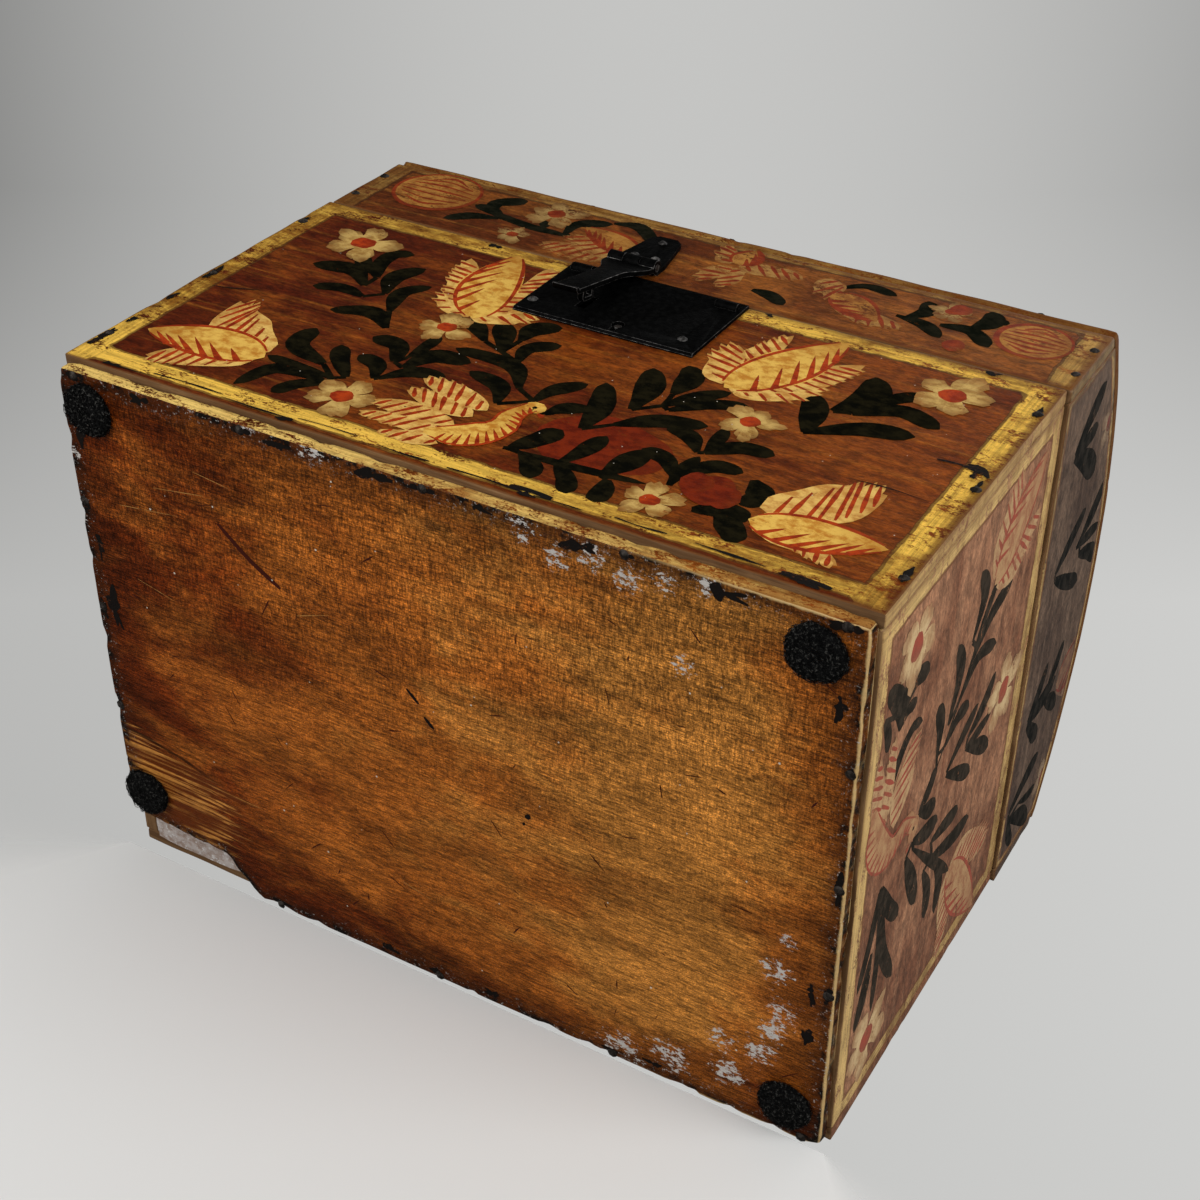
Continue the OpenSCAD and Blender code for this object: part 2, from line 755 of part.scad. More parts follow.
bottom_board();
front_board();
back_board();
left_end_board();
right_end_board();
corner_patch();
felt_pad_front_left();
felt_pad_front_right();
felt_pad_back_left();
felt_pad_back_right();
bottom_nails();
corner_nails();
lid_front_rail();
lid_back_rail();
lid_left_end();
lid_right_end();
lid_top_board();
lid_corner_nails();
lid_top_nails();
hinge_left_body_leaf();
hinge_right_body_leaf();
hinge_left_lid_leaf();
hinge_right_lid_leaf();
hinge_left_pin();
hinge_right_pin();
hinge_body_nails();
hinge_lid_nails();
lock_plate();
lock_plate_hooks();
lock_plate_rivets();
lock_case();
lock_key_post();
lock_bolt_guides();
lock_spring();
lock_bolt();
hasp_upper_leaf();
hasp_pin();
hasp_nails();
hasp_lower_leaf();
hasp_staple();
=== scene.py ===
# %% [markdown]
# # A painted wedding chest
#
# The chest is a nailed box of thin boards with a domed lid, painted by hand with birds and flowers.
# Its solids were drawn in a CAD program and packed with their joints. This lesson loads them as a fixed
# frame and dresses them: worn boards, brush strokes, forged iron, felt. The chest stands upright in the
# frame, as it is used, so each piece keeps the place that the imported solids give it.

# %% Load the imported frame
import json
import math

import bmesh
import bpy
import numpy as np
from mathutils import Matrix, Vector, noise


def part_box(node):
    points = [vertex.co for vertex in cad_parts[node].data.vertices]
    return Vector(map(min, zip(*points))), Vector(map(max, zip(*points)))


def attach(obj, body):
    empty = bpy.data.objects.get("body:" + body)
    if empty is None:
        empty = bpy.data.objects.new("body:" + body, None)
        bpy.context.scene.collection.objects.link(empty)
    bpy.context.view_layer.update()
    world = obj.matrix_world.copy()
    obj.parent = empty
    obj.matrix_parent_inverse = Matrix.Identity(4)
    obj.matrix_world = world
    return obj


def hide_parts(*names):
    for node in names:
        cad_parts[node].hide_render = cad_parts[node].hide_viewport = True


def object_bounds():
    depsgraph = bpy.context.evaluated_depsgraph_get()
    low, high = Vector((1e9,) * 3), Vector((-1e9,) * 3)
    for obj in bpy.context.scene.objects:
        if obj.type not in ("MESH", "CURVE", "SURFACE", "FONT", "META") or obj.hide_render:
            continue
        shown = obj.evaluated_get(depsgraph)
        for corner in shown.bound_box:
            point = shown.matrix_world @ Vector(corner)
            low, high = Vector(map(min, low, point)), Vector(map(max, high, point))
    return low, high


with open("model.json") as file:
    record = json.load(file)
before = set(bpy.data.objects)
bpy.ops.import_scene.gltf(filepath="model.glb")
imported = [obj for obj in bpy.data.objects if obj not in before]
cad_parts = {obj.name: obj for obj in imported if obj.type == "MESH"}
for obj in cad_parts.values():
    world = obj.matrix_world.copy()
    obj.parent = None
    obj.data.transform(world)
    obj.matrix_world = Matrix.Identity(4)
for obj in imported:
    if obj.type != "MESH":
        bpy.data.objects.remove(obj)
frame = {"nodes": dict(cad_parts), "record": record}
cad_low, cad_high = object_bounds()
scene = bpy.context.scene
MM = 0.001
print("frame loaded:", len(frame["nodes"]), "solids,", [round(v / MM) for v in cad_high - cad_low], "mm")

# %% [markdown]
# ## The camera
#
# The picture was taken with the chest tipped onto its back, so the bottom, the front and one end show.
# Turning the chest would break the frame, so the camera goes under it instead. Its place, its turn and its
# focal length come from a fit of the chest's corners. A matrix of the view axes sets its place and turn.

# %% Place the camera
CAMERA_PLACE = Vector((0.3212, -0.4430, -0.4314))
VIEW_RIGHT = Vector((0.86238, -0.00200, 0.50627))
VIEW_DOWN = Vector((0.29104, 0.82020, -0.49252))
VIEW_AHEAD = Vector((-0.41425, 0.57208, 0.70790))
FOCAL_SHARE = 1.618


def shown(name, data):
    """Puts a camera, a lamp or a mesh into the scene as an object."""
    made = bpy.data.objects.new(name, data)
    scene.collection.objects.link(made)
    return made


camera_data = bpy.data.cameras.new("camera")
camera_data.sensor_width = 36
camera_data.lens = FOCAL_SHARE * camera_data.sensor_width
camera_data.clip_start = 0.01
camera = shown("camera", camera_data)
turn = Matrix((VIEW_RIGHT, -VIEW_DOWN, -VIEW_AHEAD)).transposed().to_4x4()
camera.matrix_world = Matrix.Translation(CAMERA_PLACE) @ turn
scene.camera = camera
scene.view_settings.view_transform = "Standard"
print("camera lens:", round(camera_data.lens, 1), "mm")

# %% [markdown]
# ## Short words for shader nodes
#
# A node tree in code is mostly repetition: add a node, fill its sockets, join it. A few helpers keep the
# materials readable. `put` adds any node, `calc` does arithmetic, `mixed` blends two colours and `cloud`
# is a stretched noise, which is the base of nearly every old surface here.

# %% Helpers that add nodes and do arithmetic
def put(tree, kind, inputs=None, **settings):
    """Adds a shader node, sets its options, and fills its inputs with sockets or plain values."""
    made = tree.nodes.new("ShaderNode" + kind)
    for key, value in settings.items():
        setattr(made, key, value)
    for key, value in (inputs or {}).items():
        fill(tree, made.inputs[key], value)
    return made


def fill(tree, socket, value):
    """Joins a socket to another, or writes a plain value into it."""
    if isinstance(value, bpy.types.NodeSocket):
        tree.links.new(value, socket)
    else:
        socket.default_value = value


def calc(tree, operation, first, second=0.0, clamp=False):
    made = put(tree, "Math", operation=operation, use_clamp=clamp)
    fill(tree, made.inputs[0], first)
    fill(tree, made.inputs[1], second)
    return made.outputs[0]


def times(tree, first, second):
    return calc(tree, "MULTIPLY", first, second)


def plus(tree, first, second):
    return calc(tree, "ADD", first, second)


def minus(tree, first, second):
    return calc(tree, "SUBTRACT", first, second)


def larger(tree, first, second):
    return calc(tree, "MAXIMUM", first, second)


def scaled(tree, value, gain, lift):
    made = put(tree, "Math", operation="MULTIPLY_ADD")
    for number, part in enumerate((value, gain, lift)):
        fill(tree, made.inputs[number], part)
    return made.outputs[0]


def blended(tree, share, first, second):
    """Blends two numbers; the factor, A and B of a float Mix node are its sockets 0, 2 and 3."""
    return put(tree, "Mix", {0: share, 2: first, 3: second}, data_type="FLOAT").outputs[0]


# %% Helpers for colour and noise
def rgb(red, green, blue):
    return (red, green, blue, 1.0)


def mixed(tree, share, first, second, blend="MIX"):
    """Blends two colours; the factor, A and B of a colour Mix node are its sockets 0, 6 and 7."""
    made = put(tree, "Mix", data_type="RGBA", blend_type=blend)
    for number, value in ((0, share), (6, first), (7, second)):
        fill(tree, made.inputs[number], value)
    return made.outputs[2]


def cloud(tree, place, stretch, detail=4.0, rough=0.55, warp=0.0):
    """Noise from 0 to 1, with its own stretch along each axis."""
    spread = put(tree, "Mapping", {"Vector": place, "Scale": stretch})
    return put(tree, "TexNoise", {
        "Vector": spread.outputs[0], "Scale": 1.0, "Detail": detail, "Roughness": rough,
        "Distortion": warp}).outputs[0]


def between(tree, value, low, high):
    """0 below low, 1 above high, and a smooth rise from one to the other."""
    made = put(tree, "MapRange", interpolation_type="SMOOTHSTEP")
    fill(tree, made.inputs[0], value)
    fill(tree, made.inputs[1], low)
    fill(tree, made.inputs[2], high)
    return made.outputs[0]


def tinted(tree, hue, mask, amount, colour):
    """Lays a colour over the hue where the mask is, at most by the amount."""
    return mixed(tree, times(tree, mask, amount), hue, colour)


def shaded(tree, hue, value, low, high, least, greatest):
    """Multiplies a colour by least where the value is low, and by greatest where it is high."""
    gain = scaled(tree, between(tree, value, low, high), greatest - least, least)
    return mixed(tree, 1.0, hue, gain, "MULTIPLY")


# %% [markdown]
# ## Light, table and floor
#
# The light is soft: one large lamp from the lower left of the picture, a weaker one from the right, and
# even light from all round. Two more lamps serve the views from behind and above. The pale table that the
# tipped chest lies on is a card at its back, seen from the front only. It ends at the felt pads' level, so
# the lid can open past it. A second card is the floor for upright views: it is seen from above only, and
# from there it hides the table.

# %% Lamps
def lamp(name, place, size, power):
    data = bpy.data.lights.new(name, "AREA")
    data.size = size
    data.energy = power
    made = shown(name, data)
    made.location = place
    made.rotation_mode = "QUATERNION"
    made.rotation_quaternion = (LAMPS_AIM - made.location).to_track_quat("-Z", "Y")


LAMPS_AIM = Vector((0, 0, 0.1))
lamp("lamp_low_left", Vector((-0.45, -0.90, -0.75)), 0.7, 9.0)
lamp("lamp_right", Vector((1.15, -0.75, 0.15)), 0.8, 10.5)
lamp("lamp_above", Vector((0.2, -0.2, 1.5)), 1.2, 5.0)
lamp("lamp_behind", Vector((-0.7, 1.2, 0.9)), 1.2, 5.0)
print("lamps:", len(bpy.data.lights))

# %% Even light, and a pale backdrop for the camera
AMBIENT = 0.36
REFLECTED = 0.12
BACKDROP_MIDDLE = 0.55
BACKDROP_TO_RIGHT = 0.06
CORNER_SHADE = 0.20
HALF_VIEW = 0.28
UPPER_VIEW = 0.2

world = bpy.data.worlds.new("room")
scene.world = world
world.use_nodes = True
room = world.node_tree
room.nodes.clear()
direction = put(room, "TexCoord").outputs["Generated"]


def leaning(axis, low, high):
    """How far a direction leans along an axis, held between two limits."""
    lean = put(room, "VectorMath", {0: direction, 1: axis}, operation="DOT_PRODUCT").outputs["Value"]
    return larger(room, calc(room, "MINIMUM", lean, high), low)


sideways = leaning(VIEW_RIGHT / HALF_VIEW, -1.1, 1.1)
upwards = leaning(-VIEW_DOWN / UPPER_VIEW, 0.0, 1.0)
# Painted shade on the backdrop: darker at its upper corners, and lighter to the right than to the left.
corner = times(room, times(room, sideways, sideways), upwards)
tone = plus(room, times(room, sideways, BACKDROP_TO_RIGHT), BACKDROP_MIDDLE)
tone = minus(room, tone, times(room, corner, CORNER_SHADE))
ray = put(room, "LightPath")
seen = larger(room, ray.outputs["Is Camera Ray"], ray.outputs["Is Transmission Ray"])
around = blended(room, ray.outputs["Is Glossy Ray"], AMBIENT, REFLECTED)
strength = blended(room, seen, around, tone)
glow = put(room, "Background", {"Color": rgb(1.0, 1.0, 0.98), "Strength": strength})
room.links.new(glow.outputs[0], put(room, "OutputWorld").inputs[0])
print("even light:", AMBIENT, "and backdrop:", BACKDROP_MIDDLE)

# %% Cards that are seen from one side
CRISP_END = 0.0008
SOFTER_WITH_DISTANCE = 1.5


def card(name, corners, colour, edge_from, edge_to, ends_at_pads=False):
    """A pale card that is clear from behind and fades out at its rim.

    With ends_at_pads it also ends at the felt pads' level, softly to the left and right of the chest.
    """
    mesh = bpy.data.meshes.new(name)
    mesh.from_pydata(corners, [], [(0, 1, 2, 3)])
    made = shown(name, mesh)
    finish = bpy.data.materials.new(name)
    finish.use_nodes = True
    tree = finish.node_tree
    tree.nodes.clear()
    facing = put(tree, "NewGeometry")
    away = put(tree, "VectorMath", {0: facing.outputs["Position"]}, operation="LENGTH").outputs["Value"]
    clear = between(tree, away, edge_from, edge_to)
    clear = larger(tree, clear, facing.outputs["Backfacing"])
    if ends_at_pads:
        spot = put(tree, "SeparateXYZ", {0: facing.outputs["Position"]}).outputs
        from_middle = calc(tree, "ABSOLUTE", spot[0])
        beside = larger(tree, minus(tree, from_middle, cad_high[0]), 0.0)
        fade_from = scaled(tree, beside, -SOFTER_WITH_DISTANCE, -CRISP_END)
        clear = larger(tree, clear, between(tree, spot[2], fade_from, 0.0))
    pale = put(tree, "BsdfDiffuse", {"Color": colour}).outputs[0]
    nothing = put(tree, "BsdfTransparent").outputs[0]
    blend = put(tree, "MixShader", {0: clear, 1: pale, 2: nothing})
    tree.links.new(blend.outputs[0], put(tree, "OutputMaterial").inputs[0])
    mesh.materials.append(finish)
    made.visible_shadow = False
    made.visible_glossy = False
    return made


TABLE_Y = 0.112
REACH = 1.6
CORNERS = [(-REACH, -REACH), (REACH, -REACH), (REACH, REACH), (-REACH, REACH)]
card("table", [(across, TABLE_Y, up) for across, up in CORNERS], rgb(0.70, 0.70, 0.69), 0.45, 0.75,
     ends_at_pads=True)
floor = card("floor", [(across, back, 0) for across, back in CORNERS], rgb(0.72, 0.72, 0.71), 0.5, 1.3)
floor.visible_diffuse = False
print("cards:", "table", floor.name)

# %% [markdown]
# ## Effects that several finishes share
#
# Old wood and old paint have the same few causes: grain that runs with the board, arrises rubbed by hands,
# and colour that has gone in spots. Each is made once as a node group with named inputs and outputs, and
# every material sets its own values. Places are in centimetres, with the grain along X.

# %% Node groups: wood figure, rubbed arris, worn paint
def new_group(name, inputs, outputs):
    tree = bpy.data.node_groups.new(name, "ShaderNodeTree")
    for label, kind in inputs.items():
        tree.interface.new_socket(label, in_out="INPUT", socket_type="NodeSocket" + kind)
    for label, kind in outputs.items():
        tree.interface.new_socket(label, in_out="OUTPUT", socket_type="NodeSocket" + kind)
    return tree, tree.nodes.new("NodeGroupInput").outputs, tree.nodes.new("NodeGroupOutput").inputs


def make_wood_figure():
    tree, given, result = new_group(
        "wood figure", {"Place": "Vector"},
        {"Rings": "Float", "Fibre": "Float", "Pores": "Float", "Blotch": "Float"})
    place = given["Place"]
    fill(tree, result["Rings"], cloud(tree, place, (0.09, 2.3, 2.3), 6, 0.62, 0.7))
    fill(tree, result["Fibre"], cloud(tree, place, (4.0, 14, 14), 5, 0.70, 0.3))
    fill(tree, result["Pores"], between(tree, cloud(tree, place, (3.2, 34, 34), 2), 0.62, 0.70))
    fill(tree, result["Blotch"], cloud(tree, place, (0.20, 0.36, 0.36), 5, 0.62, 0.5))
    return tree


def make_rubbed_arris():
    tree, given, result = new_group(
        "rubbed arris", {"Place": "Vector", "Edge": "Float", "Width": "Float"}, {"Mask": "Float"})
    ragged = cloud(tree, given["Place"], (1.6, 1.6, 1.6), 6, 0.68)
    ragged = times(tree, times(tree, ragged, 2.0), given["Width"])
    inner = times(tree, ragged, 0.25)
    fill(tree, result["Mask"], between(tree, given["Edge"], ragged, inner))
    return tree


def make_worn_paint():
    tree, given, result = new_group(
        "worn paint", {"Place": "Vector", "Loss": "Float"}, {"Mask": "Float", "Dirt": "Float"})
    place = given["Place"]
    coarse = cloud(tree, place, (0.9, 2.2, 2.2), 6, 0.7, 0.4)
    fine = cloud(tree, place, (9, 16, 16), 4, 0.65)
    left = plus(tree, times(tree, coarse, 0.6), times(tree, fine, 0.4))
    left = minus(tree, left, given["Loss"])
    fill(tree, result["Mask"], between(tree, left, -0.035, 0.035))
    fill(tree, result["Dirt"], between(tree, cloud(tree, place, (14, 20, 20), 3), 0.60, 0.70))
    return tree


wood_figure = make_wood_figure()
rubbed_arris = make_rubbed_arris()
worn_paint = make_worn_paint()
print("shared effects:", wood_figure.name, rubbed_arris.name, worn_paint.name)


# %% Start a finish
def use_group(tree, group, inputs):
    made = put(tree, "Group", node_tree=group)
    for key, value in inputs.items():
        fill(tree, made.inputs[key], value)
    return made.outputs


ALONG_X = (0.0, 0.0, 0.0)
ALONG_Y = (0.0, 0.0, math.pi / 2)


def new_finish(name, grain=ALONG_X, shine=0.06):
    """An empty material, with its shader and a place in centimetres whose X runs with the grain."""
    finish = bpy.data.materials.new(name)
    finish.use_nodes = True
    tree = finish.node_tree
    tree.nodes.clear()
    coat = put(tree, "BsdfPrincipled", {"Specular IOR Level": shine})
    tree.links.new(coat.outputs[0], put(tree, "OutputMaterial").inputs[0])
    own = put(tree, "TexCoord").outputs["Object"]
    spot = put(tree, "Mapping", {"Vector": own, "Scale": (100, 100, 100), "Rotation": grain}).outputs[0]
    return finish, tree, coat, spot


def marked(tree, label):
    """A value that is written on the points of a mesh."""
    return put(tree, "Attribute", attribute_name=label).outputs["Fac"]


def relief(tree, coat, height, distance, strength=1.0):
    bump = put(tree, "Bump", {"Height": height, "Distance": distance, "Strength": strength})
    tree.links.new(bump.outputs[0], coat.inputs["Normal"])


print("grain runs along X, or turned by", round(math.degrees(ALONG_Y[2])), "degrees along Y")

# %% [markdown]
# ## Painted boards
#
# The ground is one coat of red-brown oil colour, brushed along the board and now thin, so the wood's rings
# show as streaks through it. `painted_ground` is a group, because worn brush strokes have to show the very
# same ground. Along each arris the colour is rubbed off and the bare wood is dark with handling.

# %% The painted ground
def make_painted_ground():
    tree, given, result = new_group(
        "painted ground", {"Place": "Vector", "Dark": "Color", "Middle": "Color", "Light": "Color"},
        {"Color": "Color", "Height": "Float"})
    place = given["Place"]
    figure = use_group(tree, wood_figure, {"Place": place})
    to_right = put(tree, "SeparateXYZ", {0: place}).outputs[0]
    warm = plus(tree, figure["Blotch"], times(tree, to_right, 0.008))
    hue = mixed(tree, between(tree, warm, 0.36, 0.62), given["Dark"], given["Middle"])
    hue = tinted(tree, hue, between(tree, figure["Rings"], 0.52, 0.74), 0.5, given["Light"])
    hue = tinted(tree, hue, between(tree, figure["Rings"], 0.48, 0.32), 0.5, given["Dark"])
    hue = shaded(tree, hue, figure["Fibre"], 0.34, 0.66, 0.64, 1.36)
    mottle = cloud(tree, place, (1.1, 2.6, 2.6), 5, 0.7, 0.3)
    hue = shaded(tree, hue, mottle, 0.32, 0.68, 0.66, 1.40)
    fill(tree, result["Color"], tinted(tree, hue, figure["Pores"], 0.4, given["Dark"]))
    fill(tree, result["Height"], plus(tree, figure["Rings"], figure["Fibre"]))
    return tree


painted_ground = make_painted_ground()


def ground_under(tree, spot, ground):
    dark, middle, light = ground
    return use_group(tree, painted_ground, {"Place": spot, "Dark": dark, "Middle": middle, "Light": light})


print("ground:", painted_ground.name)

# %% Colours of the grounds and of their borders
FRONT_GROUND = (rgb(0.070, 0.009, 0.0012), rgb(0.165, 0.037, 0.0032), rgb(0.29, 0.098, 0.010))
LID_GROUND = (rgb(0.085, 0.018, 0.0028), rgb(0.195, 0.058, 0.0080), rgb(0.32, 0.128, 0.020))
# The ends' ground is paler and greyer than the front's: painted sheen, over the gloss of their finish.
END_GROUND_WITH_SHEEN = (rgb(0.17, 0.066, 0.032), rgb(0.33, 0.155, 0.080), rgb(0.43, 0.225, 0.120))
# The lid's ends stand in shade, and their ground is painted darker for it: painted shade.
SHADED_LID_END_GROUND = (rgb(0.070, 0.040, 0.026), rgb(0.13, 0.080, 0.052), rgb(0.19, 0.120, 0.080))
ARRIS_WOOD = rgb(0.14, 0.058, 0.018)
YELLOW_BORDER = (rgb(0.22, 0.085, 0.008), rgb(0.80, 0.48, 0.070), rgb(0.050, 0.012, 0.003))
# The lid's border is the yellow one made darker: painted shade on the lid's face.
SHADED_LID_BORDER = (rgb(0.15, 0.056, 0.010), rgb(0.42, 0.235, 0.055), rgb(0.040, 0.010, 0.003))
CREAM_BORDER = (rgb(0.30, 0.165, 0.055), rgb(0.70, 0.46, 0.17), rgb(0.13, 0.034, 0.014))
CHALK_BORDER = (rgb(0.34, 0.150, 0.032), rgb(0.80, 0.54, 0.15), rgb(0.030, 0.009, 0.003))
print("front ground:", [round(part, 3) for part in FRONT_GROUND[1]])

# %% A painted board
BORDER_LOSS = 0.45


def painted_board(name, ground, border, grain, upright, loss=BORDER_LOSS, shine=0.06, rubbed=1.0,
                  lit_lower_border=(0.0, 0.17)):
    """The ground, its painted border with a thin line inside it, and bare wood on the rubbed arrises.

    The border is brushed along its own way: beyond `upright` centimetres from the middle, that is upwards.
    Along the bottom the border gets painted light, set by the last argument: a slope to the right, and the
    amount in the middle.
    """
    finish, tree, coat, spot = new_finish(name, grain, shine)
    under = ground_under(tree, spot, ground)
    edge = marked(tree, "edge")
    inside = marked(tree, "border")
    shaky = times(tree, minus(tree, cloud(tree, spot, (1.2, 1.2, 1.2), 3), 0.5), 2.4)
    inside = plus(tree, inside, shaky)
    worn = use_group(tree, worn_paint, {"Place": spot, "Loss": loss})
    to_right, _, up = put(tree, "SeparateXYZ", {0: spot}).outputs
    # Painted light: over its random patches, the border's tone grows lighter along the grain, to the right
    # on the front.
    patchy_and_lit = scaled(tree, to_right, 0.005, cloud(tree, spot, (0.5, 2.2, 1.1), 8, 0.78))
    # Painted light: the lowest few centimetres of the border are lightened, by the slope to the right and
    # the amount in the middle.
    lower_border_light = scaled(tree, to_right, *lit_lower_border)
    patchy_and_lit = between(tree, scaled(tree, between(tree, up, 5.0, 2.6), lower_border_light, patchy_and_lit), 0.32, 0.66)
    tone = mixed(tree, patchy_and_lit, border[0], border[1])
    turned = between(tree, calc(tree, "ABSOLUTE", to_right), upright - 0.3, upright)
    level = cloud(tree, spot, (0.4, 9, 9), 5, 0.68)
    risen = cloud(tree, spot, (9, 9, 0.4), 5, 0.68)
    tone = shaded(tree, tone, blended(tree, turned, level, risen), 0.36, 0.62, 0.66, 1.08)
    tone = tinted(tree, tone, worn["Dirt"], 0.7, border[2])
    band = times(tree, between(tree, inside, 0.0, 0.5), worn["Mask"])
    hue = mixed(tree, band, under["Color"], tone)
    line = times(tree, between(tree, inside, -0.2, 0.1), between(tree, inside, 1.5, 1.1))
    hue = tinted(tree, hue, line, 0.75, border[2])
    bare = use_group(tree, rubbed_arris, {"Place": spot, "Edge": edge, "Width": 1.3})["Mask"]
    grime = use_group(tree, rubbed_arris, {"Place": spot, "Edge": edge, "Width": 5.0})["Mask"]
    handled = scaled(tree, between(tree, to_right, -2.0, 13.0), 0.6 * rubbed, 0.15 * rubbed)
    hue = tinted(tree, hue, grime, handled, ground[0])
    fill(tree, coat.inputs["Base Color"], tinted(tree, hue, bare, 0.85 * rubbed, ARRIS_WOOD))
    fill(tree, coat.inputs["Roughness"], scaled(tree, cloud(tree, spot, (0.8, 2, 2), 4), 0.3, 0.30))
    relief(tree, coat, under["Height"], 0.00012)
    return finish


# %% The boards' grounds
NOWHERE = 99.0

# The front and its chalky lower edge set their own painted light along the bottom of the border; the other
# grounds keep the default.
front_ground = painted_board("red_brown_ground", FRONT_GROUND, YELLOW_BORDER, ALONG_X, 14.9,
                             lit_lower_border=(-0.014, 0.08))
lid_ground = painted_board("lid_ground", LID_GROUND, SHADED_LID_BORDER, ALONG_X, 14.9, 0.46)
end_ground_with_sheen = painted_board("end_ground_with_sheen", END_GROUND_WITH_SHEEN, CREAM_BORDER, ALONG_Y, 10.2, shine=0.2, rubbed=0.5)
shaded_lid_end_ground = painted_board("shaded_lid_end_ground", SHADED_LID_END_GROUND, CREAM_BORDER, ALONG_Y, 10.7, shine=0.2)
chalky_edge = painted_board("chalky_edge", FRONT_GROUND, CHALK_BORDER, ALONG_X, NOWHERE, 0.47, rubbed=0.2,
                            lit_lower_border=(-0.016, 0.02))
print("grounds:", front_ground.name, end_ground_with_sheen.name, shaded_lid_end_ground.name)

# %% [markdown]
# ## Bare and varnished wood
#
# Inside, the boards were never painted: dry brown wood with a dusty look. Underneath, the bottom board has
# a thick amber varnish, dark and reddish at the front left, golden in the middle, scraped to lighter wood
# beside the broken corner and spattered with white. Dark and golden follow the place on the board. The
# scrape and the spatter are written on the mesh as attributes, and noise breaks all their borders up.

# %% Bare wood inside
def bare_wood(name, dark, light, grain=ALONG_X):
    finish, tree, coat, spot = new_finish(name, grain)
    figure = use_group(tree, wood_figure, {"Place": spot})
    hue = mixed(tree, between(tree, figure["Rings"], 0.35, 0.65), dark, light)
    hue = tinted(tree, hue, figure["Pores"], 0.5, dark)
    hue = tinted(tree, hue, between(tree, figure["Blotch"], 0.58, 0.40), 0.5, dark)
    fill(tree, coat.inputs["Base Color"], hue)
    coat.inputs["Roughness"].default_value = 0.72
    relief(tree, coat, plus(tree, figure["Rings"], figure["Fibre"]), 0.00015)
    return finish


DRY_WOOD = (rgb(0.10, 0.050, 0.022), rgb(0.24, 0.135, 0.062))
bare_inside = bare_wood("bare_wood", *DRY_WOOD)
bare_inside_ends = bare_wood("bare_wood_ends", *DRY_WOOD, ALONG_Y)
print("inside:", bare_inside.name, bare_inside_ends.name)

# %% Varnished wood underneath
varnish, tree, coat, spot = new_finish("amber_varnish")
figure = use_group(tree, wood_figure, {"Place": spot})
own = put(tree, "SeparateXYZ", {0: spot}).outputs
uneven = minus(tree, figure["Blotch"], 0.5)
to_back = times(tree, between(tree, own[1], 6.0, 11.5), 0.55)
reach = minus(tree, times(tree, own[0], 0.048), to_back)
reach = plus(tree, reach, times(tree, uneven, 1.7))
reach = minus(tree, reach, times(tree, between(tree, own[1], 0.0, -11.0), 0.06))
reach = minus(tree, reach, times(tree, between(tree, own[0], 10.0, 15.5), 0.85))
hue = mixed(tree, between(tree, reach, -0.80, -0.10), rgb(0.105, 0.017, 0.0015), rgb(0.27, 0.076, 0.009))
hue = mixed(tree, between(tree, reach, -0.15, 0.45), hue, rgb(0.335, 0.130, 0.022))
edge = marked(tree, "edge")
hue = shaded(tree, hue, scaled(tree, uneven, 50.0, edge), 0.0, 34.0, 0.58, 1.06)
hue = shaded(tree, hue, cloud(tree, spot, (0.14, 0.5, 0.5), 6, 0.68, 0.6), 0.32, 0.66, 0.60, 1.24)
hue = shaded(tree, hue, cloud(tree, spot, (1.5, 18, 18), 4, 0.7, 0.3), 0.34, 0.66, 0.48, 1.50)
ticks = shaded(tree, rgb(1, 1, 1), cloud(tree, spot, (12, 2.4, 2.4), 4, 0.7, 0.8), 0.36, 0.66, 0.45, 1.70)
to_front = between(tree, scaled(tree, uneven, 12.0, own[1]), 6.0, -8.0)
hue = mixed(tree, scaled(tree, to_front, 0.8, 0.1), hue, mixed(tree, 1.0, hue, ticks, "MULTIPLY"))
hue = shaded(tree, hue, cloud(tree, spot, (14, 20, 20), 4, 0.7), 0.32, 0.68, 0.48, 1.54)
hue = shaded(tree, hue, cloud(tree, spot, (4, 8, 8), 5, 0.75), 0.34, 0.66, 0.66, 1.36)
hue = tinted(tree, hue, figure["Pores"], 0.6, rgb(0.03, 0.009, 0.002))
print("varnish so far:", len(tree.nodes), "nodes")

# %% Its scraped corner
scrape = marked(tree, "scrape")
frayed = plus(tree, scrape, times(tree, minus(tree, figure["Rings"], 0.5), 30.0))
lines = between(tree, cloud(tree, spot, (0.16, 6, 6), 4, 0.6, 0.5), 0.47, 0.56)
bright = times(tree, lines, between(tree, scrape, -26.0, -3.0))
bright = times(tree, bright, between(tree, cloud(tree, spot, (0.35, 1.2, 1.2), 4), 0.30, 0.55))
raw = mixed(tree, bright, rgb(0.105, 0.022, 0.003), rgb(0.50, 0.21, 0.042))
raw = shaded(tree, raw, figure["Fibre"], 0.34, 0.66, 0.75, 1.2)
hue = mixed(tree, between(tree, frayed, 1.0, -1.5), hue, raw)
crack = between(tree, calc(tree, "ABSOLUTE", minus(tree, scrape, 0.6)), 0.9, 0.4)
crack = times(tree, crack, between(tree, own[0], -10.5, -12.5))
hue = tinted(tree, hue, crack, 0.85, rgb(0.018, 0.005, 0.001))

print("with its scraped corner:", len(tree.nodes), "nodes")

# %% Its grimy edges, a painted highlight at the right end, and white spatter
band = use_group(tree, rubbed_arris, {"Place": spot, "Edge": edge, "Width": 9.0})["Mask"]
hue = tinted(tree, hue, band, 0.6, rgb(0.045, 0.011, 0.002))
crust = between(tree, cloud(tree, spot, (1.3, 1.3, 1.3), 6, 0.7), 0.47, 0.58)
black = use_group(tree, rubbed_arris, {"Place": spot, "Edge": edge, "Width": 5.5})["Mask"]
hue = mixed(tree, times(tree, black, crust), hue, rgb(0.006, 0.004, 0.003))
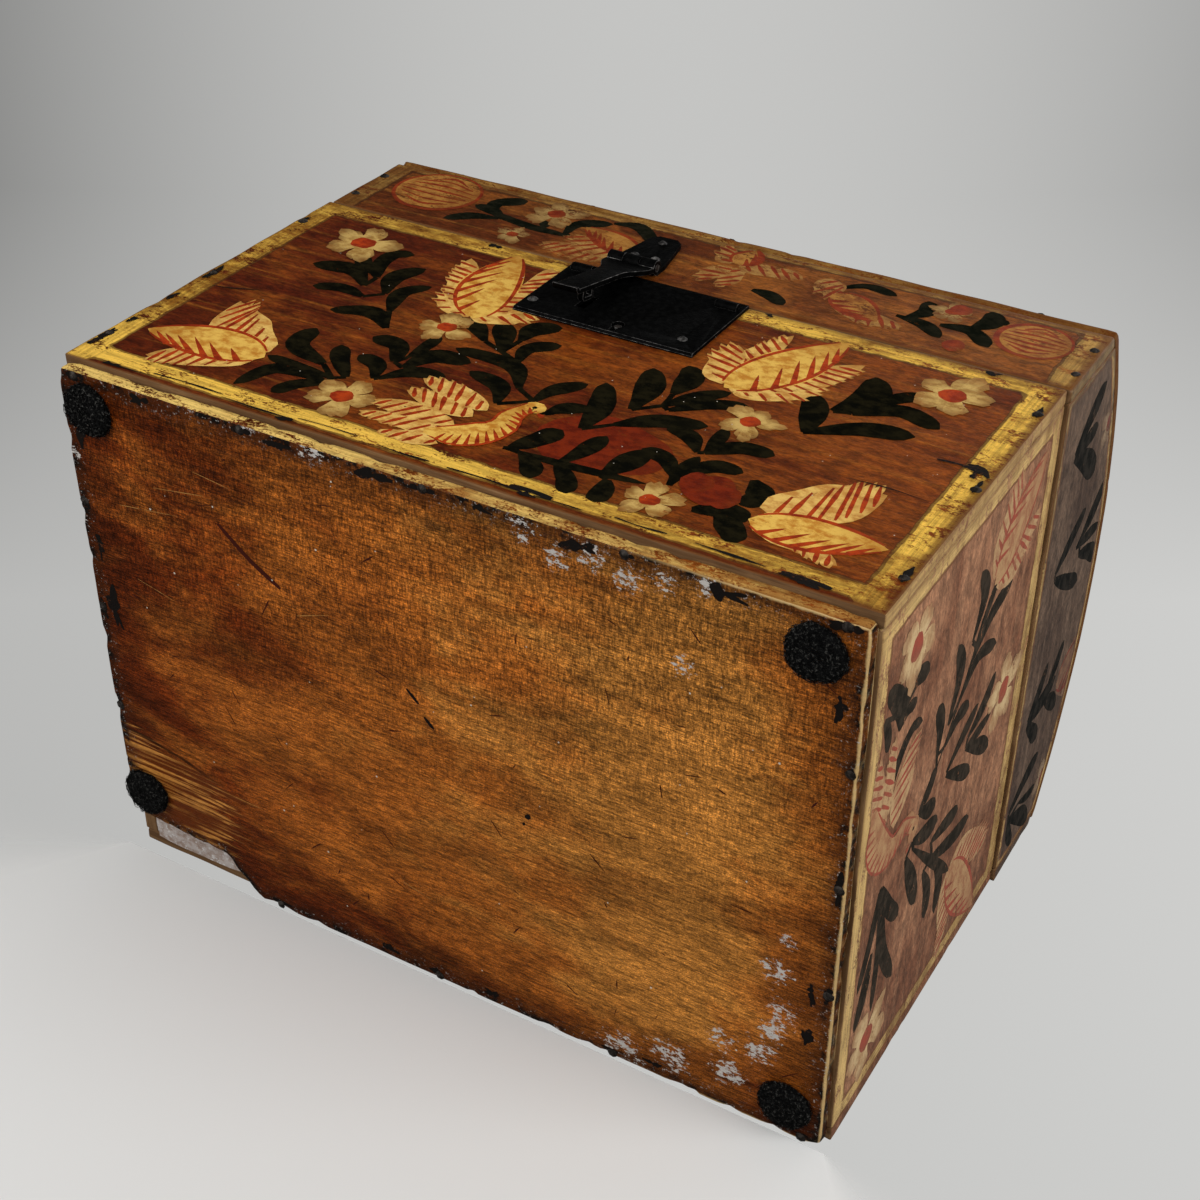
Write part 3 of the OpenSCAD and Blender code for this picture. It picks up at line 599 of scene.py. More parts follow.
# Painted highlight: at the right-hand end the worn arrises are tinted pale, where they catch the light.
bare = use_group(tree, rubbed_arris, {"Place": spot, "Edge": edge, "Width": 1.3})["Mask"]
bare = times(tree, bare, between(tree, own[0], 6.0, 14.0))
hue = tinted(tree, hue, bare, 0.9, rgb(0.60, 0.40, 0.17))
dust = times(tree, band, between(tree, cloud(tree, spot, (8, 8, 8), 4, 0.7), 0.60, 0.68))
spatter = marked(tree, "spatter")
drops = times(tree, cloud(tree, spot, (3.4, 5.5, 5.5), 6, 0.74), scaled(tree, spatter, 0.47, 0.60))
white = larger(tree, between(tree, drops, 0.525, 0.57), times(tree, dust, 0.7))
hue = mixed(tree, white, hue, rgb(0.46, 0.43, 0.40))
fill(tree, coat.inputs["Base Color"], hue)
matt = scaled(tree, cloud(tree, spot, (1.0, 3, 3), 4), 0.22, 0.26)
fill(tree, coat.inputs["Roughness"], calc(tree, "ADD", matt, times(tree, white, 0.3), clamp=True))
height = plus(tree, figure["Rings"], figure["Fibre"])
relief(tree, coat, plus(tree, height, times(tree, lines, 0.5)), 0.00016)
print("wood finishes:", bare_inside.name, varnish.name)

# %% [markdown]
# ## Worn boards
#
# A board could be a cube with a bevel, but long use rounds its arrises unevenly and knocks small bites out
# of them. So each board is a skin of quads on a lattice, close-set along the arrises. Every point near an
# arris is drawn onto a rounding whose radius comes from noise, and the distance to the arris is kept as an
# attribute for the shader. A board can then be bent or cut by moving its lattice.

# %% Make a board
def lattice(low, high, rim, pitch):
    """Places across a board: close together at both arrises, evenly spaced between them."""
    steps = rim * np.array([0.0, 0.25, 0.55, 0.9, 1.4])
    count = max(1, round((high - low - 2 * steps[-1]) / pitch))
    middle = np.linspace(low + steps[-1], high - steps[-1], count + 1)
    return np.concatenate([low + steps[:-1], middle, high - steps[-2::-1]])


def roughness_at(points, scale, seed):
    """Smooth noise about 0 at each point, the same on every run."""
    shift = Vector((seed * 7.3, seed * 3.1, seed * 5.7))
    return np.array([noise.noise(Vector(point) * scale + shift) for point in points])


def worn_down(points, edge, low, high, rim, seed, bites, bite_depth):
    """Draws the points near an arris onto an uneven rounding, with bites at random places along it."""
    near = edge < rim * 1.5
    draw = np.full(len(points), rim * 0.6)
    draw[near] = rim * (0.75 + 0.9 * roughness_at(points[near], 0.045, seed))
    chance = np.random.default_rng(seed)
    arris = points[edge < 1e-9]
    for spot in arris[chance.integers(0, len(arris), bites)]:
        size = chance.uniform(2.0, 7.0)
        gap = np.linalg.norm(points - spot, axis=1)
        draw += np.where(near, bite_depth * np.clip(1 - gap / size, 0, 1), 0)
    draw = np.clip(draw, rim * 0.2, (high - low).min() * 0.45)[:, None]
    core = np.clip(points, low + draw, high - draw)
    out = points - core
    length = np.linalg.norm(out, axis=1, keepdims=True)
    return np.where(length > draw, core + out * draw / np.maximum(length, 1e-9), points)


# %% Join its points to quads, and cut a hole
def board(low, high, rim, seed, pitch=3.0, bites=24, bite_depth=1.1, hole=None):
    """Points, quads, the side that each quad is on, and each point's distance from the arris, in mm."""
    low, high = np.array(low, float), np.array(high, float)
    lines = [lattice(a, b, rim, pitch) for a, b in zip(low, high)]
    if hole:
        for axis in (0, 2):
            for corner in hole:
                nearest = np.abs(lines[axis] - corner[axis]).argmin()
                lines[axis][nearest] = corner[axis]
    shape = [len(values) for values in lines]
    spots = np.indices(shape).reshape(3, -1).T
    outer = ((spots == 0) | (spots == np.array(shape) - 1)).any(1)
    spots = spots[outer]
    number = -np.ones(shape, int)
    number[tuple(spots.T)] = np.arange(len(spots))
    points = np.stack([lines[axis][spots[:, axis]] for axis in range(3)], 1)
    inset = np.sort(np.minimum(points - low, high - points), 1)
    edge = inset[:, 1]
    points = worn_down(points, edge, low, high, rim, seed, bites, bite_depth)
    quads, sides = [], []
    for axis in range(3):
        grid = np.moveaxis(number, (axis, (axis + 1) % 3, (axis + 2) % 3), (0, 1, 2))
        for end in (0, -1):
            sheet = grid[end]
            corners = [sheet[:-1, :-1], sheet[1:, :-1], sheet[1:, 1:], sheet[:-1, 1:]]
            square = np.stack(corners, -1).reshape(-1, 4)
            quads.append(square if end else square[:, ::-1])
            sides += [(axis, end)] * len(square)
    return points, np.concatenate(quads), sides, edge


def punched(points, quads, sides, hole):
    """Takes the quads inside a hole out of the front and back faces and walls the hole round."""
    middle = points[quads].mean(1)
    (x0, _, z0), (x1, _, z1) = hole
    gone = (middle[:, 0] > x0) & (middle[:, 0] < x1) & (middle[:, 2] > z0) & (middle[:, 2] < z1)
    gone &= np.array([axis == 1 for axis, _ in sides])
    front = gone & np.array([end == 0 for _, end in sides])
    places = [tuple(place) for place in np.round(points[:, [0, 2]], 3)]
    behind = points[:, 1] > points[:, 1].mean()
    opposite = {place: number for number, place in enumerate(places) if behind[number]}
    edges = {(a, b) for quad in quads[front] for a, b in zip(quad, np.roll(quad, -1))}
    walls = [(a, b, opposite[places[b]], opposite[places[a]]) for a, b in edges if (b, a) not in edges]
    kept = [side for side, cut in zip(sides, gone) if not cut]
    return np.concatenate([quads[~gone], walls]), kept + [(1, -1)] * len(walls)


# %% Make a piece and seat it on its body
def piece(name, points, faces, finishes, finish_of=None, **marks):
    """A mesh object from points in millimetres, with a finish for each face and marks on its points."""
    mesh = bpy.data.meshes.new(name)
    mesh.from_pydata((np.asarray(points) * MM).tolist(), [], [list(face) for face in faces])
    for finish in finishes:
        mesh.materials.append(finish)
    if finish_of is not None:
        mesh.polygons.foreach_set("material_index", np.asarray(finish_of, np.int32))
    mesh.polygons.foreach_set("use_smooth", np.ones(len(mesh.polygons), bool))
    for label, values in marks.items():
        attribute = mesh.attributes.new(label, "FLOAT", "POINT")
        attribute.data.foreach_set("value", np.asarray(values, np.float32))
    mesh.update()
    return shown(name, mesh)


def seat(made, body, slot, *nodes):
    """Rides a piece on its body, and hides the solids that it stands for; its slot is not used."""
    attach(made, body)
    if nodes:
        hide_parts(*nodes)
    return made


def node_box(node):
    low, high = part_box(node)
    return np.array(low) / MM, np.array(high) / MM


print("front board spans", [round(size) for size in np.subtract(*node_box("front_board")[::-1])], "mm")

# %% Where the borders are painted
wall_low, wall_high = np.round(node_box("front_board"), 3)
FRONT_Y, WALL_Z, HALF_W = wall_low[1], wall_low[2], wall_high[0]
NO_BORDER = -20.0


def most(*values):
    return np.maximum.reduce([np.asarray(value, float) + 0 * values[0] for value in values])


def front_border(x, y, z):
    """How far a point lies inside the border, in millimetres; below 0 it is on the ground."""
    low_band = np.minimum(12.5 - (z - WALL_Z), z - WALL_Z - 2.4)
    return most(-149 - x, x - 148, z - WALL_Z - 147, low_band)


def end_border(x, y, z):
    return most(-102 - y, y - 102, z - WALL_Z - 148, 9 - (z - WALL_Z))


def plain(x, y, z):
    return np.full(len(x), NO_BORDER)


print("walls stand", WALL_Z, "mm above the floor")

# %% The body's walls
RIM = 1.1
SETTLED = 0.56
PAINTED, BARE, END_GRAIN = 0, 1, 2


def kind_of(side, outer_side):
    """Which finish a side of a board has."""
    if side == (outer_side[0], -1 - outer_side[1]) or side[0] == 2:
        return BARE
    if side[0] == 0 and outer_side[0] != 0:
        return END_GRAIN
    return PAINTED


def wall(node, body, finishes, outer_side, border, seed, cut=None, hole=None):
    """A worn board: painted outside, bare inside and on its rims, with its own finish on the end grain.

    Old boards settle onto each other, so the lid's reach down almost to the walls and shut out the light.
    """
    low, high = node_box(node)
    if body == "lid":
        low[2] -= SETTLED
    points, quads, sides, edge = board(low, high, RIM, seed, hole=hole)
    if hole:
        quads, sides = punched(points, quads, sides, hole)
    if cut:
        points = cut(points, low, high)
    kinds = [kind_of(side, outer_side) for side in sides]
    made = piece(node + "_worn", points, quads, finishes, kinds, edge=edge, border=border(*points.T))
    return seat(made, body, "painted_wood", node)


LONG_SIDES = [front_ground, bare_inside, end_ground_with_sheen]
SHORT_SIDES = [end_ground_with_sheen, bare_inside_ends, end_ground_with_sheen]
lock_low, lock_high = node_box("lock_case")
CASE_PLAY = 0.3
LOCK_HOLE = (lock_low - CASE_PLAY, lock_high + CASE_PLAY)
wall("front_board", "chest", LONG_SIDES, (1, 0), front_border, 11, hole=LOCK_HOLE)
wall("back_board", "chest", LONG_SIDES, (1, -1), plain, 12)
wall("left_end_board", "chest", SHORT_SIDES, (0, 0), end_border, 13)
wall("right_end_board", "chest", SHORT_SIDES, (0, -1), end_border, 14)
print("lock hole:", [round(size, 1) for size in LOCK_HOLE[1] - LOCK_HOLE[0]], "mm")

# %% [markdown]
# The lid's rails and ends are boards too, cut to the circle that the bent top follows: each lattice column
# is stretched up to that circle. The top board is made flat and then rolled round the same centre.

# %% The lid's rails and ends
CROWN_Y, CROWN_Z, CROWN_R, TOP_T = -5.28, 11.72, 235.0, 4.0
TOP_PLAY = 0.1
SEAT_R = CROWN_R - TOP_T - TOP_PLAY


def under_crown(y, radius=SEAT_R):
    return CROWN_Z + np.sqrt(radius ** 2 - (y - CROWN_Y) ** 2)


def to_crown(points, low, high):
    """Stretches a board's lattice up to the circle that carries the top."""
    share = (points[:, 2] - low[2]) / (high[2] - low[2])
    points[:, 2] = low[2] + share * (under_crown(points[:, 1]) - low[2])
    return points


rail_low, rail_high = np.round(node_box("lid_front_rail"), 3)
LID_Z, LID_SHIFT = rail_low[2], (rail_low[0] + rail_high[0]) / 2


def rail_border(x, y, z):
    return most(-149 - (x - LID_SHIFT), x - LID_SHIFT - 149, z - LID_Z - 42)


def lid_end_border(x, y, z):
    from_crown = SEAT_R - np.hypot(y - CROWN_Y, z - CROWN_Z)
    return most(4.0 - from_crown, 3.0 - (z - LID_Z), -107 - y, y - 107)


LID_LONG = [lid_ground, bare_inside, shaded_lid_end_ground]
LID_SHORT = [shaded_lid_end_ground, bare_inside_ends, shaded_lid_end_ground]
wall("lid_front_rail", "lid", LID_LONG, (1, 0), rail_border, 21, to_crown)
wall("lid_back_rail", "lid", LID_LONG, (1, -1), plain, 22, to_crown)
wall("lid_left_end", "lid", LID_SHORT, (0, 0), lid_end_border, 23, to_crown)
wall("lid_right_end", "lid", LID_SHORT, (0, -1), lid_end_border, 24, to_crown)
print("the lid sits", round(LID_SHIFT, 1), "mm to the right of the body")

# %% The lid's bent top
THIN_RIM = 0.9
TOP_BORDER = 11
low, high = node_box("lid_top_board")
FRONT_TURN = math.asin((low[1] - CROWN_Y) / CROWN_R)
BACK_TURN = math.asin((high[1] - CROWN_Y) / CROWN_R)
flat_low, flat_high = (low[0], CROWN_R * FRONT_TURN, 0), (high[0], CROWN_R * BACK_TURN, TOP_T)
points, quads, sides, edge = board(flat_low, flat_high, THIN_RIM, 25)
sheet = points[:, :2]
rim_gap = np.minimum(sheet - sheet.min(0), sheet.max(0) - sheet).min(1)
turn, radius = points[:, 1] / CROWN_R, CROWN_R - TOP_T + points[:, 2]
points = np.stack([points[:, 0], CROWN_Y + radius * np.sin(turn), CROWN_Z + radius * np.cos(turn)], 1)
kinds = [BARE if side == (2, 0) else PAINTED for side in sides]
made = piece("lid_top_board_worn", points, quads, [lid_ground, bare_inside], kinds, edge=edge,
             border=TOP_BORDER - rim_gap)
seat(made, "lid", "painted_wood", "lid_top_board")
print("lid top spans", round(math.degrees(BACK_TURN - FRONT_TURN)), "degrees")

# %% [markdown]
# The bottom board has lost its back left corner. Its lattice is squeezed there, so that its edge follows
# the break, with splinters from noise. The scraped patch and the white spatter are marked on its points.

# %% The bottom board: its break, its scraped patch and its spatter
BREAK_X = [-158.5, -156.5, -150.6, -146.6, -125.5, -108.3, -105.0, -96.5, -92.5]
BREAK_Y = [88.5, 91.0, 94.6, 95.4, 96.8, 97.8, 102.8, 111.4, 114.5]
SCRAPE = np.array([(-170, 50), (-149, 51), (-127, 55), (-115, 59), (-106, 63), (-104, 71), (-103, 81),
                   (-105, 93), (-107, 100), (-170, 101)], float)
SPATTER = [
    (77, 107, 14), (97, 101, 14), (121, 97, 12), (117, 81, 9), (133, 79, 11), (137, 67, 9), (141, 55, 11),
    (137, 37, 10), (139, 21, 6), (38, -108, 7), (51, -102, 8), (64, -107, 9), (77, -103, 9), (90, -107, 8),
    (104, -110, 6), (97, -77, 7), (-45, -113, 8), (-73, -115, 6), (37, -115, 8), (-161, 7, 5),
    (-159, -51, 6), (-158, -78, 7),
]


def polygon_distance(x, y, corners):
    """Distance to a polygon's outline, below 0 inside it."""
    best, inside = np.full(len(x), 1e9), np.zeros(len(x), bool)
    for (ax, ay), (bx, by) in zip(corners, np.roll(corners, -1, 0)):
        run, rise = bx - ax, by - ay
        along = np.clip(((x - ax) * run + (y - ay) * rise) / (run ** 2 + rise ** 2), 0, 1)
        best = np.minimum(best, np.hypot(x - ax - along * run, y - ay - along * rise))
        crossing = (ay > y) != (by > y)
        inside ^= crossing & (x < run * (y - ay) / (rise + 1e-12) + ax)
    return np.where(inside, -best, best)


print("scraped patch:", len(SCRAPE), "corners; spatter:", len(SPATTER), "spots")

# %% Break its corner and mark its surface
SQUEEZE_FROM = 60.0
SCRAPE_DEPTH = 0.5
ALL_BORDER = 6.0
FRAY = np.array([0.3, 1.0])
low, high = node_box("bottom_board")
points, quads, sides, edge = board(low, high, THIN_RIM, 31, pitch=2.5, bites=110, bite_depth=2.2)
x, y = points[:, 0], points[:, 1]
back = np.interp(x, BREAK_X, BREAK_Y)
splinter = np.where(x < BREAK_X[-1], roughness_at(points, 0.35, 5), 0.0)
share = np.clip((y - SQUEEZE_FROM) / (high[1] - SQUEEZE_FROM), 0, 1)
points[:, 1] = np.where(y > SQUEEZE_FROM, SQUEEZE_FROM + share * (back + splinter - SQUEEZE_FROM), y)
scrape = polygon_distance(*(points[:, :2] * FRAY).T, SCRAPE * FRAY)
spatter = np.zeros(len(points))
for *middle, size in SPATTER:
    gap = np.hypot(*(points[:, :2] - middle).T)
    spatter = np.maximum(spatter, np.clip(1.3 - gap / size, 0, 1))
under = points[:, 2] < low[2] + 0.5
points[:, 2] += np.where(under, SCRAPE_DEPTH * np.clip(-scrape / 3, 0, 1), 0)
kinds = [{(2, -1): 1, (1, 0): 2}.get(side, 0) for side in sides]
made = piece("bottom_board_worn", points, quads, [varnish, bare_inside, chalky_edge], kinds, edge=edge,
             scrape=scrape, spatter=spatter, border=np.full(len(points), ALL_BORDER))
seat(made, "chest", "varnished_wood", "bottom_board")
print("bottom board:", len(points), "points")

# %% [markdown]
# ## Brush strokes
#
# A folk painter builds a flower from single strokes of a loaded brush: press, drag, lift. Painting pictures
# onto a texture would lose that, so every stroke is a line here, with its width along the way. Geometry
# Nodes sweeps a flat brush mark along each line. The strokes are drawn on a flat sheet and then laid onto
# their panel, a few hundredths of a millimetre proud, which is about what oil paint stands.

# %% A node tree that sweeps the brush
def geometry_tree(name, inputs):
    """A geometry tree with named inputs, and the identifier that each input is set by."""
    tree = bpy.data.node_groups.new(name, "GeometryNodeTree")
    tree.interface.new_socket("Geometry", in_out="INPUT", socket_type="NodeSocketGeometry")
    names = {}
    for label, kind in inputs.items():
        socket = tree.interface.new_socket(label, in_out="INPUT", socket_type="NodeSocket" + kind)
        names[label] = socket.identifier
    tree.interface.new_socket("Geometry", in_out="OUTPUT", socket_type="NodeSocketGeometry")
    return tree, names, tree.nodes.new("NodeGroupInput").outputs, tree.nodes.new("NodeGroupOutput").inputs


def step(tree, kind, inputs=None, **settings):
    """Adds a geometry node by its full type name, and fills its inputs."""
    made = tree.nodes.new(kind)
    for key, value in settings.items():
        setattr(made, key, value)
    for key, value in (inputs or {}).items():
        fill(tree, made.inputs[key], value)
    return made.outputs


brush, brush_inputs, given, result = geometry_tree(
    "brush", {"Lines": "Object", "Flat": "Float", "Paint": "Material"})
lines = step(brush, "GeometryNodeObjectInfo", {"Object": given["Lines"]})["Geometry"]
lines = step(brush, "GeometryNodeSetCurveNormal", {"Curve": lines}, mode="Z_UP")[0]
way = step(brush, "GeometryNodeSplineParameter")["Factor"]
lines = step(brush, "GeometryNodeStoreNamedAttribute",
             {"Geometry": lines, "Name": "along", "Value": way})[0]
mark = step(brush, "GeometryNodeCurvePrimitiveCircle", {"Resolution": 8, "Radius": 1.0})["Curve"]
flat = step(brush, "ShaderNodeCombineXYZ", {0: 1.0, 1: given["Flat"], 2: 1.0})[0]
mark = step(brush, "GeometryNodeTransform", {"Geometry": mark, "Scale": flat})[0]
width = step(brush, "GeometryNodeInputRadius")[0]
swept = step(brush, "GeometryNodeCurveToMesh",
             {"Curve": lines, "Profile Curve": mark, "Scale": width, "Fill Caps": True})[0]
swept = step(brush, "GeometryNodeRealizeInstances", {"Geometry": swept})[0]
swept = step(brush, "GeometryNodeSetMaterial", {"Geometry": swept, "Material": given["Paint"]})[0]
fill(brush, result[0], swept)
print("brush tree:", len(brush.nodes), "nodes")


# %% Run a tree once
def grown(name, mesh, tree, values):
    """Runs a geometry tree on a mesh once and gives back the plain mesh that it made."""
    holder = shown(name, mesh)
    modifier = holder.modifiers.new("grow", "NODES")
    modifier.node_group = tree
    for key, value in values.items():
        modifier[key] = value
    made = bpy.data.meshes.new_from_object(holder.evaluated_get(bpy.context.evaluated_depsgraph_get()))
    bpy.data.objects.remove(holder)
    return made


# %% [markdown]
# A stroke is a smooth line through two to five places, from the stem to the tip, and a width. The shape of
# its pressure makes it a leaf, a petal, a vein or a dot. A slow wobble keeps the hand in it.

# %% Strokes
rng = np.random.default_rng(7)
LEAF_PRESS = (0, 0.12, 0.35, 0.6, 0.82, 0.94, 1), (0.3, 0.52, 0.88, 1, 0.9, 0.58, 0.08)
NECK_PRESS = (0, 0.2, 0.4, 0.7, 1), (0.2, 0.85, 1.0, 0.62, 0.42)
PRESSURE = {
    "leaf": lambda t: np.interp(t, *LEAF_PRESS),
    "petal": lambda t: (0.30 + 0.70 * t ** 0.8) * (1 - t ** 6) ** 0.5,
    "lobe": lambda t: np.sin(np.pi * t ** 0.8) ** 0.7,
    "line": lambda t: np.sin(np.pi * (0.06 + 0.88 * t)) ** 0.5,
    "comma": lambda t: (1 - t) ** 0.6,
    "neck": lambda t: np.interp(t, *NECK_PRESS),
    "dot": lambda t: np.sqrt(1 - (2 * t - 1) ** 2),
    "band": lambda t: np.ones_like(t),
}


def spine(places, count=14):
    """Evenly spaced points on a smooth line through the places."""
    knots = np.array(places, float).reshape(-1, 2)
    if len(knots) == 2:
        knots = np.array([knots[0], knots.mean(0), knots[1]])
    ends = np.vstack([2 * knots[0] - knots[1], knots, 2 * knots[-1] - knots[-2]])
    t = np.linspace(0, 1, 12)[:, None]
    fine = []
    for a, b, c, d in zip(ends, ends[1:], ends[2:], ends[3:]):
        fine.append(0.5 * (2 * b + (c - a) * t + (2 * a - 5 * b + 4 * c - d) * t ** 2
                           + (3 * b - a - 3 * c + d) * t ** 3))
    fine = np.concatenate(fine)
    run = np.concatenate([[0], np.cumsum(np.linalg.norm(np.diff(fine, axis=0), axis=1))])
    want = np.linspace(0, run[-1], count)
    return np.stack([np.interp(want, run, fine[:, 0]), np.interp(want, run, fine[:, 1])], 1)


def stroke(places, width, shape, count=14, wobble=0.08):
    line = spine(places, count)
    t = np.linspace(0, 1, count)
    hand = 1 + wobble * np.sin(rng.uniform(4, 9) * t + rng.uniform(0, 6.3))
    return line, np.maximum(width / 2 * PRESSURE[shape](t) * hand, 0.04)


def dot(u, v, size, squash=1.0):
    return stroke((u - size / 2, v, u + size / 2, v), size * squash, "dot", 9 if size < 14 else 27, 0.1)


print("kinds of stroke:", ", ".join(PRESSURE))

# %% Feathered leaves
LOBE_WIDER = 1.25


def rails(row, count=25):
    """A lobe's middle line, its half widths, and its directions ahead and beside."""
    line = spine(row[1:], count)
    half = row[0] / 2 * LOBE_WIDER * PRESSURE["lobe"](np.linspace(0, 1, count))
    ahead = np.gradient(line, axis=0)
    ahead /= np.linalg.norm(ahead, axis=1, keepdims=True)
    return line, half[:, None], ahead, np.stack([-ahead[:, 1], ahead[:, 0]], 1)


def almond(row, paint):
    """The middle lobe of a leaf: red along both edges, with commas that grow inwards from the lower one."""
    line, half, ahead, beside = rails(row)
    strokes = [(paint, stroke(row[1:], row[0] * LOBE_WIDER, "lobe"))]
    lower = -1 if beside[12, 1] > 0 else 1
    for side in (-1, 1):
        rim = (line + side * beside * half * 0.95)[1:24:2]
        strokes.append(("red", stroke(rim.ravel(), 1.7, "line", 14)))
    for place in range(3, 20, 3):
        foot = line[place] + lower * beside[place] * half[place] * 0.95
        tip = foot + (ahead[place] * 1.1 - lower * beside[place] * rng.uniform(0.8, 1.1)) * half[place]
        strokes.append(("red", stroke((*foot, *tip), 2.6, "comma", 7)))
    return strokes


def wing(row, paint, core):
    """A side lobe: slanting bars run outwards from the middle lobe to a jagged rim."""
    line, half, ahead, beside = rails(row)
    away = 1 if (line[12] - spine(core[1:], 3)[1]) @ beside[12] > 0 else -1
    inner, outer = line - away * beside * half * 0.85, line + (away * beside * 0.95 + ahead * 1.2) * half
    strokes = [(paint, stroke(row[1:], row[0] * LOBE_WIDER, "lobe", 14, 0.14))]
    length = np.linalg.norm(np.diff(line, axis=0), axis=1).sum()
    places = np.linspace(2, 20, max(4, round(length / 5.5))).astype(int)
    for place in places:
        tip = outer[place] + ahead[place] * 1.6
        strokes.append((paint, stroke((*line[place], *tip), 3.6, "lobe", 7, 0.2)))
    for place in places:
        strokes.append(("red", stroke((*inner[place], *outer[place]), 1.7, "line", 7, 0.2)))
    return strokes


def feather_leaf(rows, broad, pale):
    """Side lobes first, then the middle lobe over their feet; the first row is the middle one."""
    return [s for row in rows[:0:-1] for s in wing(row, pale, rows[0])] + almond(rows[0], broad)


# %% Flowers, fruit and birds
def flower(size, u, v, paint):
    """Five ragged petals, parted from each other, round a red middle."""
    strokes, radius, start = [], size / 2, rng.uniform(0, 6.3)
    for number in range(5):
        angle = start + 2 * np.pi * number / 5 + rng.uniform(-0.16, 0.16)
        reach = radius * rng.uniform(0.98, 1.25)
        for fan, share in ((-0.25, 0.86), (0.25, 0.90), (0.0, 1.0)):
            way = np.array([np.cos(angle + fan), np.sin(angle + fan)])
            tip = np.array([u, v]) + way * reach * share * rng.uniform(0.86, 1.06)
            strokes.append((paint, stroke((u, v, *tip), radius * rng.uniform(0.42, 0.56), "petal", 9, 0.2)))
    strokes.append(("red", dot(u, v, radius * 0.70, 0.85)))
    return strokes


def fruit(size, u, v, paint):
    """A round fruit with a red rim and curved stripes across it."""
    strokes, radius = [(paint, dot(u, v, size, 0.94))], size / 2
    around = np.linspace(0, 2 * np.pi, 17)
    rim = np.stack([u + radius * np.cos(around), v + 0.94 * radius * np.sin(around)], 1)
    strokes.append(("red", stroke(rim.ravel(), 1.7, "band", 40, 0.35)))
    for place in (-0.75, -0.48, -0.2, 0.08, 0.36, 0.62, 0.84):
        half, rise = 0.86 * radius * np.sqrt(1 - place ** 2), place * radius * 0.9
        stripe = (u - half, v + rise * 0.7, u, v + rise, u + half, v + rise * 0.7)
        strokes.append(("red", stroke(stripe, 1.4, "line", 9, 0.3)))
    return strokes


def bird(rows, broad, pale):
    """Tail and wing first, then the body with commas along its belly, and the head with a dark eye."""
    body, head = rows[0], rows[1]
    strokes = [s for row in rows[2:] for s in wing(row, pale, body)]
    strokes.append((broad, stroke(body[1:], body[0], "neck", 18)))
    strokes.append((broad, stroke(head[1:], head[0], "dot", 9)))
    line = spine(body[1:], 17)
    ahead = np.gradient(line, axis=0)
    ahead /= np.linalg.norm(ahead, axis=1, keepdims=True)
    half = body[0] / 2 * PRESSURE["neck"](np.linspace(0, 1, 17))[:, None]
    beside = np.stack([-ahead[:, 1], ahead[:, 0]], 1) * half
    for rim in (line + beside, line - beside):
        strokes.append(("red", stroke(rim[1:17:3].ravel(), 1.2, "line", 14)))
    for place in range(2, 16):
        foot = line[place] - beside[place]
        tip = foot + 1.1 * beside[place] + ahead[place] * 2.0
        strokes.append(("red", stroke((*foot, *tip), 1.8, "comma", 6)))
    _, eye, beak = np.array(head[1:]).reshape(-1, 2)
    strokes.append(("dark", dot(*eye, 1.8)))
    strokes.append(("red", stroke((*beak, *(beak + (3.2, -1.6))), 2.0, "leaf", 6)))
    return strokes


# %% [markdown]
# The painter's plan of each panel: leaves, feathers, flowers, fruit and a bird, in millimetres on it.
# A row is a width and the places that its stroke runs through; a flower or a fruit is a size and a place.

# %% The plan of the front
FRONT_LEAVES = [
    (7.5, -100, 108, -106, 119, -106, 129, -99, 132), (6, -103, 110, -111, 115, -117, 123),
    (8.5, -100, 100, -112, 109, -129, 106), (8, -89, 98, -94, 112, -88, 124),
    (7, -95, 92, -106, 94, -117, 90), (7, -79, 87, -84, 102, -77, 112), (8, -72, 75, -84, 83, -99, 77),
    (7, -35, 85, -44, 93, -52, 96), (8, -25, 81, -31, 92, -38, 101), (9, -24, 92, -24, 102, -16, 108),
    (7, -16, 77, -18, 88, -9, 96), (7.5, -5, 61, -16, 74, -41, 75), (7, -6, 48, -12, 59, -27, 63),
    (5, -52, 60, -51, 70, -51, 80), (8, -54, 55, -60, 66, -72, 67), (9, -49, 53, -44, 66, -30, 68),
    (7, -53, 41, -58, 50, -68, 53), (7, -52, 42, -44, 52, -32, 55), (7, -62, 37, -72, 47, -78, 56),
    (9, -75, 41, -92, 48, -94, 62), (5.5, -66, 34, -84, 35, -96, 36), (7, -66, 31, -87, 30, -93, 13),
    (7, -66, 30, -74, 24, -78, 15), (7, 4, 56, 6, 66, 14, 76), (7, 12, 50, 16, 57, 24, 61),
    (9, 28, 48, 26, 64, 19, 80), (9.5, 36, 68, 34, 84, 28, 98), (9, 43, 85, 43, 98, 38, 106),
    (7, 44, 76, 52, 88, 60, 96), (7, 47, 74, 58, 85, 70, 90), (8.5, 36, 56, 48, 66, 64, 71),
    (5, 71, 56, 71, 66, 70, 73), (6.5, 69, 54, 62, 62, 52, 64), (8, 71, 55, 80, 64, 92, 65),
    (7, 69, 37, 62, 45, 52, 47), (7.5, 72, 40, 78, 49, 88, 50), (5, 71, 31, 70, 42, 71, 52),
    (9, 14, 25, 19, 34, 23, 44), (7, 33, 25, 36, 35, 38, 48), (9, 49, 25, 52, 36, 55, 47),
    (4, 12, 24, 36, 25, 64, 28), (7, 19, 24, 26, 19, 30, 12), (7, 33, 24, 40, 18, 45, 10),
    (8, 52, 24, 54, 18, 55, 10), (9, 93, 48, 99, 40, 96, 32), (9, 84, 22, 94, 27, 102, 24),
    (9, 92, 24, 99, 19, 105, 12), (11.5, 96, 102, 103, 118, 99, 132), (7, 103, 110, 112, 122, 119, 128),
    (9, 94, 84, 90, 100, 84, 110), (9, 102, 104, 116, 114, 132, 109), (9, 93, 84, 110, 96, 127, 100),
]
